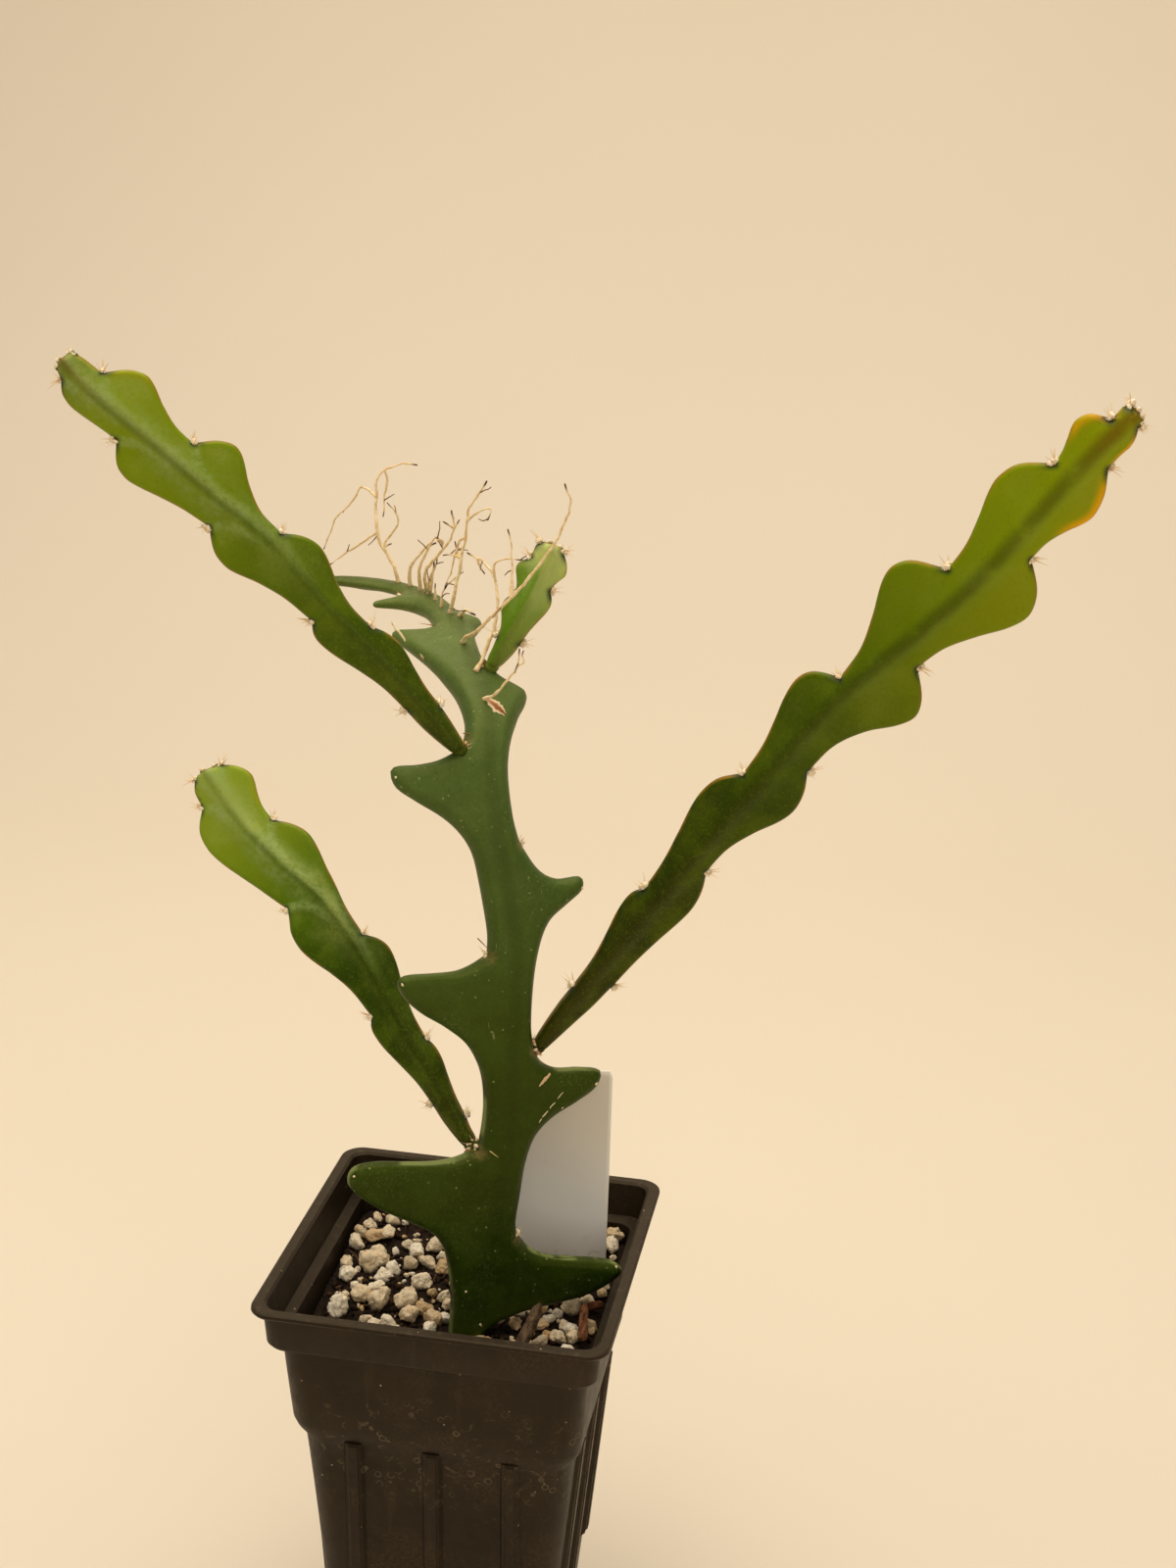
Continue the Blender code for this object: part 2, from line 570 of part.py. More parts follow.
def spline_at(chords, knots, value):
    """A smooth curve through the knots, each span a cubic set by its neighbours."""
    i = min(max(int(np.searchsorted(chords, value)) - 1, 0), len(knots) - 2)
    width = chords[i + 1] - chords[i]
    share = (value - chords[i]) / width
    slopes = []
    for k in (i, i + 1):
        low, high = max(k - 1, 0), min(k + 1, len(knots) - 1)
        slopes.append((knots[high] - knots[low]) / (chords[high] - chords[low]) * width)
    square, cube = share ** 2, share ** 3
    return (
        (2 * cube - 3 * square + 1) * knots[i]
        + (cube - 2 * square + share) * slopes[0]
        + (3 * square - 2 * cube) * knots[i + 1]
        + (cube - square) * slopes[1]
    )


def rounded_line(points, per_span=5):
    """A smooth line through an outline's points."""
    knots = np.array(points, float)
    chords = np.r_[0, np.cumsum(np.linalg.norm(np.diff(knots, axis=0), axis=1))]
    values = []
    for low, high in zip(chords, chords[1:]):
        values += [low + (high - low) * step / per_span for step in range(per_span)]
    values.append(chords[-1])
    return [tuple(spline_at(chords, knots, value)) for value in values]


def distance_to_line(point, line):
    point = np.array(point)
    start, ray = line[:-1], np.diff(line, axis=0)
    share = np.clip(((point - start) * ray).sum(1) / np.maximum((ray * ray).sum(1), 1e-9), 0, 1)
    return float(np.linalg.norm(start + share[:, None] * ray - point, axis=1).min())


def young_margin(marks, side, length):
    """Lobes for a young stem. Each rises gently from one areole to its tip and drops steeply to the next."""
    foot_half = YOUNG_FOOT_HALF
    first_areole = marks[0]
    middle = (first_areole[0] * 0.6, max(foot_half, first_areole[1] * 0.88))
    lobes = [[(0.3, foot_half * 0.6), (1.2, foot_half), middle, first_areole]]
    for i in range(1, len(marks) - 1, 2):
        root, tip, areole = marks[i - 1], marks[i], marks[i + 1]
        rise = tip[0] - root[0]
        drop = areole[0] - tip[0]
        lobes.append(
            [root]
            + [(root[0] + go * rise, root[1] + swell * (tip[1] - root[1])) for go, swell in YOUNG_RISE[side]]
            + [tip, (tip[0] + 0.5 * drop, areole[1] + YOUNG_DROP[side] * (tip[1] - areole[1])), areole]
        )
    end = marks[-1]
    lobes.append([end, (end[0] + 0.6 * (length - end[0]), end[1] * 0.8), (length - 0.3, end[1] * 0.55)])
    return lobes


def make_stems():
    main = Stem(MAIN_PATH, MAIN_FACE, {-1: MAIN_LEFT, 1: MAIN_RIGHT}, MAIN_SECTION, MAIN_STUB)
    stems = {"main_stem": main}
    for name, young in YOUNG_STEMS.items():
        section = dict(YOUNG_SECTION, fold=young["fold"])
        knots = np.array(young["path"], float)
        length = np.linalg.norm(np.diff(knots, axis=0), axis=1).sum()
        margins = {
            -1: young_margin(young["left"], -1, length),
            1: young_margin(young["right"], 1, length),
        }
        stems[name] = Stem(young["path"], young["face"], margins, section)
    return stems


def add_spines(stem, reach, seed, feet, collection):
    """Spines at each areole, fanned about the way out and leaning a little to the stem's tip."""
    draw = random.Random(seed)
    for along, out in stem.areoles():
        side = math.copysign(1, out)
        _, across, normal = stem.frame_at(along)
        root = stem.place(along, out - side * SPINE_SUNK)
        tangent = np.cross(normal, across)
        carries = any(np.linalg.norm(root - foot) < STEM_FOOT_REACH for foot in feet)
        for turn in SPINE_FAN_AT_STEM if carries else SPINE_FAN:
            lean = math.radians(turn + draw.uniform(-15, 15))
            forward = draw.uniform(0.1, 0.7)
            way = side * math.cos(lean) * across + math.sin(lean) * normal + forward * tangent
            aside = SPINE_SPREAD * math.sin(lean) * normal
            spine_object(root + aside, way, draw.uniform(*reach) + SPINE_SUNK, collection)


def spine_object(root, way, length, collection):
    bm = bmesh.new()
    bmesh.ops.create_cone(
        bm, cap_ends=True, segments=3, radius1=SPINE_RADIUS, radius2=SPINE_TIP_RADIUS, depth=length
    )
    bmesh.ops.translate(bm, vec=(0, 0, length / 2), verts=bm.verts)
    turn = Vector((0, 0, 1)).rotation_difference(Vector(way).normalized())
    bmesh.ops.rotate(bm, matrix=turn.to_matrix(), verts=bm.verts)
    bmesh.ops.translate(bm, vec=Vector(root), verts=bm.verts)
    mesh_object("spine", bm, collection)


def make_stem_objects(stems, parts, materials):
    feet = [np.array(young["path"][0]) for young in YOUNG_STEMS.values()]
    for seed, (name, stem) in enumerate(stems.items()):
        old = name == "main_stem"
        bm = stem.mesh(*(MAIN_GRID if old else YOUNG_GRID))
        obj = mesh_object(name, bm, parts, materials["old_stem" if old else "young_stem"])
        spines = new_collection("spines")
        add_spines(stem, SPINES_MAIN if old else SPINES_YOUNG, seed, feet if old else [], spines)
        join_all(obj, spines, solver="MANIFOLD")


def seated_run(run, stem):
    """The root's points, with its seat turned into a point just off the stem's face."""
    (along, out), *others = run
    along += stem.stub
    lift = stem.half_thickness(along, out) + GAP + ROOT_RADIUS / 2
    return [stem.place(along, out, lift)] + others


def make_root(name, runs, stem, parts, material):
    """A root and its side roots: tapered tubes through the runs' points, joined."""
    runs = [seated_run(runs[0], stem)] + runs[1:]
    objects = []
    for i, run in enumerate(runs):
        objects.append(tube_object(f"{name}_{i}", run, SIDE_ROOT_RADIUS if i else ROOT_RADIUS, parts))
    main = objects[0]
    main.name = name
    main.data.materials.append(material)
    if len(objects) > 1:
        side_roots = new_collection("side_roots")
        for side_root in objects[1:]:
            parts.objects.unlink(side_root)
            side_roots.objects.link(side_root)
        join_all(main, side_roots)


def tube_object(name, run, radius, collection):
    """A curve with a round bevel, as a closed mesh."""
    curve = bpy.data.curves.new(name, "CURVE")
    curve.dimensions = "3D"
    curve.bevel_depth = radius * MM
    curve.bevel_resolution = 1
    curve.use_fill_caps = True
    spline = curve.splines.new("POLY")
    spline.points.add(len(run) - 1)
    for i, (point, place) in enumerate(zip(spline.points, run)):
        point.co = (*(Vector(place) * MM), 1)
        point.radius = 1 - ROOT_TAPER * i / (len(run) - 1)
    guide = bpy.data.objects.new(name + "_guide", curve)
    collection.objects.link(guide)
    graph = bpy.context.evaluated_depsgraph_get()
    mesh = bpy.data.meshes.new_from_object(guide.evaluated_get(graph))
    bm = bmesh.new()
    bm.from_mesh(mesh)
    bmesh.ops.remove_doubles(bm, verts=bm.verts, dist=1e-6)
    bmesh.ops.recalc_face_normals(bm, faces=bm.faces)
    bm.to_mesh(mesh)
    bm.free()
    mesh.name = name
    obj = bpy.data.objects.new(name, mesh)
    obj.matrix_world = guide.matrix_world
    collection.objects.link(obj)
    bpy.data.objects.remove(guide, do_unlink=True)
    return obj


def make_bark(parts, materials):
    """Short broken sticks, each a five-sided prism with uneven sides."""
    places = []
    for seed, (name, (low, high, radius)) in enumerate(BARK_PIECES.items()):
        draw = random.Random(40 + seed)
        low, high = Vector(low), Vector(high)
        bm = bmesh.new()
        bmesh.ops.create_cone(
            bm, cap_ends=True, segments=6, radius1=radius, radius2=radius * 0.75, depth=(high - low).length
        )
        for vert in bm.verts:
            vert.co += Vector([draw.uniform(-0.2, 0.2) * radius for _ in range(3)])
        turn = Vector((0, 0, 1)).rotation_difference((high - low).normalized())
        bmesh.ops.rotate(bm, matrix=turn.to_matrix(), verts=bm.verts)
        bmesh.ops.translate(bm, vec=(low + high) / 2, verts=bm.verts)
        for vert in bm.verts:
            vert.co.z = max(vert.co.z, soil_height(vert.co.y) + GAP)
        mesh_object(name, bm, parts, materials["bark"])
        places += [(low.lerp(high, step / 4), radius) for step in range(5)]
    return places


def grow_stones(blocked):
    """Places for the stones: each new one overlaps one that is there, and clears all that is blocked."""
    draw = random.Random(STONE_SEED)
    reach = SOIL_HALF - 3 * STONE_CLEARANCE
    stones = [FIRST_STONE]
    tree = KDTree(len(blocked))
    for i, (place, _) in enumerate(blocked):
        tree.insert(place, i)
    tree.balance()
    for _ in range(STONE_TRIES):
        if len(stones) == STONE_COUNT:
            break
        host, host_radius = draw.choice(stones)
        radius = draw.uniform(*STONE_RADII)
        angle = draw.uniform(0, 2 * math.pi)
        away = STONE_OVERLAP * (host_radius + radius)
        place = host + away * Vector((math.cos(angle), math.sin(angle), 0))
        if max(abs(place.x), abs(place.y)) + radius > reach:
            continue
        if any((place - other).length < STONE_OVERLAP * (size + radius) - 0.01 for other, size in stones):
            continue
        middle = place + Vector((0, 0, soil_height(place.y) + radius * STONE_LIFT))
        near = tree.find_range(middle, 2 * radius)
        if any((point - middle).length < radius + STONE_CLEARANCE + blocked[i][1] for point, i, _ in near):
            continue
        stones.append((place, radius))
    return stones


def make_pumice(parts, materials, blocked):
    draw = random.Random(STONE_SEED + 1)
    others = new_collection("other_stones")
    for i, (place, radius) in enumerate(grow_stones(blocked)):
        bm = bmesh.new()
        bmesh.ops.create_icosphere(bm, subdivisions=1, radius=radius)
        turn = Vector((draw.uniform(-1, 1), draw.uniform(-1, 1), draw.uniform(-1, 1))).normalized()
        spin = Vector((0, 0, 1)).rotation_difference(turn)
        bmesh.ops.rotate(bm, matrix=spin.to_matrix(), verts=bm.verts)
        floor = GAP + draw.uniform(0, 0.25)
        for vert in bm.verts:
            vert.co *= draw.uniform(0.9, 1.06)
            vert.co.z *= STONE_TALL
            vert.co += place
            ground = soil_height(vert.co.y)
            vert.co.z = max(vert.co.z + soil_height(place.y) + radius * STONE_LIFT, ground + floor)
        if i == 0:
            first = mesh_object("pumice", bm, parts, materials["pumice"])
        else:
            mesh_object("stone", bm, others)
    join_all(first, others)


def main_stem_samples(stem):
    """Points on both faces of the main stem's foot and lowest lobes."""
    columns = (0.2, 0.4, 0.6, 0.8, 0.93, 1.0)
    return [point for station in np.arange(6, 60, 1.5) for point in stem.ring(station, columns)]


def places_to_clear(main_stem, bark):
    """What the stones stay clear of: points on the stem, the bark and the label, each with a radius."""
    blocked = [(Vector(place), 0.8) for place in main_stem_samples(main_stem)]
    blocked += [(place, radius + 0.6) for place, radius in bark]
    half = int(LABEL_WIDTH / 2)
    for across in range(-half, half + 1, 2):
        for bow in (-LABEL_BOW, 0):
            for rise in (1, 5):
                place = Vector((LABEL_PLACE[0] + across, LABEL_PLACE[1] + bow, SOIL_LEVEL + rise))
                blocked.append((place, 1.2))
    return blocked


def main():
    clear_scene()
    parts = new_collection("potted_ric_rac_cactus")
    materials = make_materials()
    stems = make_stems()
    make_pot(parts, materials)
    make_potting_mix(parts, materials)
    make_label(parts, materials)
    bark = make_bark(parts, materials)
    make_pumice(parts, materials, places_to_clear(stems["main_stem"], bark))
    make_stem_objects(stems, parts, materials)
    for name, runs in ROOTS.items():
        make_root(name, runs, stems["main_stem"], parts, materials["aerial_root"])


main()
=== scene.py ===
"""The potted ric rac cactus as it looks: fine surfaces, wool, hairs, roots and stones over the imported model.

Sizes and places are in millimetres in the model's frame, and every mesh is made in metres.
"""
import math
import random

import bmesh
import bpy
import numpy as np
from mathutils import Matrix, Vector, noise


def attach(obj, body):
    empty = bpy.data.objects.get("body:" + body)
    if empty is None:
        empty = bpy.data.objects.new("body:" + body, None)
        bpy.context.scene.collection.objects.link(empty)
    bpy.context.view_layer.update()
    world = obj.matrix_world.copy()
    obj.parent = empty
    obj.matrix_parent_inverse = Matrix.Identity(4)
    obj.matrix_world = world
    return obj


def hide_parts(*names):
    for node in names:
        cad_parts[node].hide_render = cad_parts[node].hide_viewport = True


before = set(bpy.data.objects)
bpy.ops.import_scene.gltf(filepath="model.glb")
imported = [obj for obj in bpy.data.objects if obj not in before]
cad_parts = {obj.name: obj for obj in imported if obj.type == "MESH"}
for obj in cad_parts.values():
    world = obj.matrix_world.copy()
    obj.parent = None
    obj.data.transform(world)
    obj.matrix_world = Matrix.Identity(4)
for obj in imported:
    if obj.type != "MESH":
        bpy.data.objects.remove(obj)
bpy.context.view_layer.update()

MM = 0.001

# Pot: height, half width and corner radius, from the foot up the outside, over the lip and down the inside
POT_SECTIONS = [
    (0.0, 26.2, 7.6), (1.2, 27.3, 8.5), (86.0, 34.5, 7.5), (89.5, 36.2, 7.2), (92.0, 36.9, 7.0),
    (115.0, 38.6, 6.2), (115.3, 40.9, 5.2), (116.2, 41.4, 5.0), (125.3, 42.0, 4.6), (125.4, 44.1, 5.4),
    (126.0, 44.5, 5.6), (126.7, 44.4, 5.6), (127.0, 44.0, 5.4), (127.0, 41.8, 4.4), (126.4, 41.1, 4.0),
    (117.4, 40.2, 3.9), (116.4, 37.6, 4.2), (92.6, 35.8, 5.9), (89.0, 34.5, 6.0), (86.4, 33.4, 6.4),
    (2.6, 26.3, 7.4), (1.6, 25.2, 6.4),
]
# The mix's sides below its top: height, half width and corner radius, just clear of the pot's inside
MIX_SECTIONS = [(92.8, 35.5, 6.0), (89.0, 34.1, 6.2), (86.2, 33.1, 6.5), (2.6, 26.0, 7.5), (2.0, 25.4, 7.0)]
POT_TOP, POT_LIP_INNER = 127.0, 43
CORNER_STEPS, SIDE_PARTS = 8, 12
RIB_PLACES = (-20.0, 0.0, 20.0)
RIB_FOOT, RIB_TOP = 29.0, 87.5
RIB_WIDTH, RIB_CREST_WIDTH, RIB_PROUD = 6.4, 3.6, 1.5
DRAIN_SPOTS = [(x, y) for x in (-16.5, 0, 16.5) for y in (-16.5, 0, 16.5) if (x, y) != (0, 0)]
DRAIN_RADIUS = 3.6

# Potting mix
SOIL_LEVEL, SOIL_RISE, SOIL_HALF, SOIL_CORNER = 111.0, 0.06, 36.5, 5.5
MIX_CELLS = 150

# Plant label
LABEL_WIDTH, LABEL_THICK, LABEL_FOOT, LABEL_TOP = 34.0, 0.5, 92.5, 169.5
LABEL_PLACE = (16.2, 21.0)
LABEL_BOW, LABEL_CORNER = 1.6, 0.8
LABEL_CELLS = (28, 40)

# Edges sharper than so many degrees are left sharp in the shading
POT_SHARP, LABEL_SHARP, STONE_SHARP = 28, 50, 60

# Main stem: its midrib from the foot to the tip, the way its face looks, and its margins as
# (distance along the midrib above the soil line, distance from the midrib), one list for each lobe
MAIN_PATH = [
    (1.5, -16.8, 92), (3, -16, 108), (6, -14, 130), (10, -12, 149), (12, -10, 170), (12, -8, 192),
    (12, -6, 211), (9, -4, 227), (6, -2, 240), (3, 3, 253), (0, 13, 264), (-6, 26, 271),
    (-13, 41, 275.4), (-22, 58, 277), (-27.6, 67, 277.3), (-33.2, 75, 277.3), (-40, 81.5, 277.4),
    (-48, 85.5, 277.3), (-56, 87, 277.2), (-63, 87.5, 277.2),
]
MAIN_FACE = (0.42, -0.91, 0.0)
MAIN_STUB = 16.0
MAIN_LEFT = [
    [(-15, 2.6), (-8, 3.2), (2, 3.8), (12, 4.8), (19, 6.6), (25, 9.2), (29, 13.2), (31, 19), (33, 26),
     (36, 32.6), (40, 36.6), (44, 37.8), (47.4, 36.6), (49.2, 32), (49.6, 24), (50, 17), (51.4, 11.4),
     (54, 6.4)],
    [(54, 6.4), (63, 6.0), (71, 6.5), (77, 8), (82.5, 11.2), (86.5, 16.4), (90, 22.6), (94, 27),
     (98.4, 28.6), (100.4, 26.6), (100.7, 20), (101, 14.5), (102.5, 10.6), (105, 6.6)],
    [(105, 6.6), (111, 5.9), (123, 5.9), (131, 6.4), (136, 8.8), (140, 12.6), (144, 18.6), (147, 22.8),
     (150, 23.4), (150.8, 17), (151.7, 12.4), (153.6, 8.6), (156, 6)],
    [(156, 6), (162, 5.4), (172, 6.4), (180, 8.8), (187, 11.6), (194, 14.6), (200, 16.6), (203.2, 16.6),
     (202.4, 12.4), (202.2, 8.6), (204, 5.6)],
    [(204, 5.6), (210, 4.4), (216, 4), (221, 4.2), (225, 5.2), (228, 7.4), (229.8, 10), (231, 14.6),
     (232.6, 14), (233.6, 10.6), (235, 7.8), (237, 5.4), (239, 4)],
    [(239, 4), (243, 3), (247, 2.9), (251, 3.1), (256, 3.2), (261, 2.9), (266, 2.4)],
]
MAIN_RIGHT = [
    [(-15, 2.6), (-8, 3.2), (0, 3.6), (5, 6), (8.6, 12), (11.4, 20), (15, 30), (19.6, 36), (24.4, 38.4),
     (27.4, 35), (27.4, 27), (26.8, 20), (28, 13.5), (32, 8)],
    [(32, 8), (36, 6.6), (44, 6), (51, 6), (58, 7.6), (62.6, 11.6), (66.4, 18), (69.6, 22.4), (73.2, 23.2),
     (74.4, 17.5), (74.6, 11.6), (76.8, 7.8), (80.6, 5.8)],
    [(80.6, 5.8), (87, 5), (99, 5), (106, 6.5), (111, 9.6), (114, 14.6), (116.8, 19.0), (120, 19.0),
     (120.7, 13), (123.6, 9), (131, 5.6)],
    [(131, 5.6), (138, 4.8), (150, 4.8), (158, 5.8), (164, 8), (168, 10.4), (170.8, 11.2), (173, 9.4),
     (175.5, 6.6), (179, 4.6), (183, 3)],
    [(183, 3), (188, 2.9), (195, 3.3), (201, 4.6), (204.5, 6.6), (207.6, 8), (209.6, 6.6), (211.4, 4.8),
     (214, 4)],
    [(214, 4), (222, 4.2), (231, 4.4), (239, 4.2), (247, 4), (255, 3.8), (261, 3.4), (266, 2.4)],
]
# A stem's section: thick at its core and thinner in its wings, rounded at its edge, folded back by so many
# degrees, and slimmer along it by shares of the whole
MAIN_SECTION = {
    "core": 8.4, "core_reach": 11.0, "wing": 4.6, "edge": 2.6, "fold": 0.0,
    "slim": ((168, 1.0), (226, 0.55), (250, 0.34)),
}

# Corky scars on the main stem's face: a line of (along, out), half widths along it, and the tones of the rim
# and of the two sides at the line's start and at its end, from 0 dark brown to 1 cream
MAIN_SCARS = [
    ([(207.2, -15.9), (201, -15.6), (195.5, -14.8)], (0.12, 0.28, 0.15), (0.9, 0.8, 0.9), (0.9, 0.95, 0.8)),
    ([(188, -12.3), (186.8, -11.6)], (0.14, 0.28, 0.12), (0.8, 0.5, 0.7), (0.8, 0.6, 0.8)),
    ([(167.2, -0.4), (165.2, 1.2), (163.4, 2.8), (162.3, 3.9)], (0.3, 1.3, 1.6, 0.4), (0.9, 0.65, 0.6),
     (1, 0.2, 0.0)),
    ([(74.2, 9.8), (73.2, 8.4), (71.6, 6.8)], (0.3, 0.5, 0.2), (0.75, 0.5, 0.6), (0.8, 0.75, 0.8)),
    ([(69.4, 13.3), (68.5, 12.4), (67.8, 11.8)], (0.05, 0.13, 0.06), (0.9, 0.9, 0.9), (0.9, 0.9, 0.9)),
    ([(67, 11.3), (66.3, 10.4), (65.7, 9.9)], (0.06, 0.15, 0.08), (0.9, 0.9, 0.9), (1.0, 0.9, 0.9)),
    ([(65.2, 9.5), (64.4, 8.8), (63.7, 8.1)], (0.06, 0.17, 0.1), (0.9, 0.9, 0.9), (1.0, 0.9, 0.9)),
    ([(63.4, 8), (62.9, 7.7), (62.4, 7.4)], (0.05, 0.14, 0.08), (0.9, 0.9, 0.9), (1.0, 0.9, 0.9)),
    ([(65.6, 13.6), (65.2, 13.2)], (0.1, 0.16, 0.1), (0.9, 0.9, 0.9), (1.0, 0.9, 0.9)),
]
# Pale cork dots on its face (along, out, half size), and its longest spines: seat, way, length and tone
MAIN_DOTS = [
    (16.5, -2.5, 0.4), (7.5, 2.75, 0.5), (32.25, 7.5, 0.5), (148.25, -22.6, 0.4), (172, 10.4, 0.4),
    (98.25, -27.6, 0.4), (45.5, -36.6, 0.35), (70.75, 21.8, 0.45), (117.25, 18.6, 0.45), (26.25, 36.1, 0.5),
]
LONG_SPINES = [
    ((110.75, -9), (0.8, -0.4, -0.5), 4.5, 0.95), ((158, -6.25), (0.95, -0.3, 0.1), 3.5, 0.8),
    ((207.25, -5), (-0.9, -0.3, 0.2), 3.6, 0.7), ((55.5, -5.0), (0.85, -0.3, -0.45), 3.8, 0.1),
]
# Each areole's wool pad, tufts, hairs and spines: counts, sizes and the spines' range of tones
MAIN_AREOLES = {
    "pad": 1.25, "tufts": 4, "fuzz": 7, "spines": 3, "reach": (2.0, 4.0), "radius": 0.12, "tone": (0.0, 0.5),
}
YOUNG_AREOLES = {
    "pad": 1.5, "tufts": 5, "fuzz": 10, "spines": 7, "reach": (2.4, 4.4), "radius": 0.10, "tone": (0.0, 0.4),
}

# Young stems: the same, with each margin as areoles and lobe tips in turn, (along, out)
YOUNG_STEMS = {
    "upper_left_stem": {
        "path": [(-3.5, 0.65, 259.35), (-19, -3, 279), (-35, -7, 296), (-47, -10, 310), (-60, -13, 321),
                 (-71, -16, 331), (-85, -19, 343), (-91.35, -19.9, 350.25)],
        "face": (0.25, -0.95, 0.2),
        "left": [(15.5, 4.0), (42, 7.9), (47, 5.4), (71, 11.5), (80, 6.5), (101, 10.3), (108, 4.8),
                 (120, 5.7), (125, 3.2)],
        "right": [(11.5, 3.1), (30, 5.4), (36.5, 3.4), (59, 7.6), (66.5, 3.1), (87, 11.7), (94.5, 5.9),
                  (112, 10.9), (120, 4.8)],
        "fold": 7.0,
    },
    "right_stem": {
        "path": [(18.5, -5.3, 186.8), (26, -5, 200), (38, -7, 217), (57, -10, 245), (75, -13, 270),
                 (87, -15, 286), (112, -19, 312), (137, -24, 346), (143.7, -24.9, 353.1)],
        "face": (0.22, -0.95, 0.25),
        "left": [(19, 1.8), (47, 5.8), (52, 3.9), (81, 8.3), (90.5, 3.9), (116.5, 9.1), (123, 2.6),
                 (149, 14.3), (158, 5.8), (181, 11.2), (190.5, 4.2), (200, 7.0), (204.6, 2.2),
                 (207.9, 2.6), (209.1, 1.7)],
        "right": [(25.5, 5.8), (55, 8.1), (65, 4.9), (91, 10.9), (100.5, 7.0), (129, 15.7), (137.5, 6.8),
                  (162, 14.3), (171.5, 5.8), (187, 9.7), (196.8, 4.9), (203.4, 5.0), (207.8, 2.6)],
        "fold": 5.0,
    },
    "lower_left_stem": {
        "path": [(3.2, -10.2, 160.5), (-5, -5, 171), (-15, 1, 182), (-24, 7, 192), (-33, 12, 202),
                 (-43, 17, 211), (-55, 21, 218), (-67, 25, 227), (-76.5, 28, 237.5), (-77.7, 28.4, 239.1)],
        "face": (0.25, -0.95, 0.15),
        "left": [(13.5, 3.9), (37, 7.7), (41, 6.0), (68, 12.5), (79.5, 7.9), (104, 11.2), (112.6, 5.8),
                 (115.4, 5.6), (119.4, 3.4)],
        "right": [(7, 2.2), (25, 4.3), (29, 3.4), (54, 6.8), (60, 3.1), (89.5, 10.5), (98.5, 6.6),
                  (113, 9.4), (119.2, 4.4)],
        "fold": 6.0,
    },
    "top_stem": {
        "path": [(-1.2, 24, 274), (2, 24, 281), (7, 25, 290), (10, 27, 297), (12.3, 29.3, 304.9)],
        "face": (0.1, -0.95, 0.3),
        "left": [(8, 2.3), (15, 5.6), (19, 4.2), (26, 6.8), (29.4, 4.1), (32.6, 4.0), (33.8, 2.8)],
        "right": [(9, 3.7), (20.5, 5.1), (23.5, 3.6), (28.5, 5.4), (33.3, 3.0)],
        "fold": 16.0,
    },
}
YOUNG_SECTION = {"core": 5.0, "core_reach": 2.6, "wing": 2.2, "edge": 1.1, "slim": ((0, 1.0), (1, 1.0))}
YOUNG_FOOT_HALF = 1.9

# A young lobe's points between its areole and its tip, as shares (along, out) of the rise on each side, and
# how far out it still is halfway down the drop. Then the low ridges that run out to each areole
YOUNG_RISE = {-1: ((0.30, 0.17), (0.58, 0.53), (0.83, 0.90)), 1: ((0.30, 0.06), (0.58, 0.42), (0.83, 0.88))}
YOUNG_DROP = {-1: 0.78, 1: 0.70}
VEIN_HEIGHT, VEIN_WIDTH, VEIN_LEAD = 0.32, 1.7, 14.0

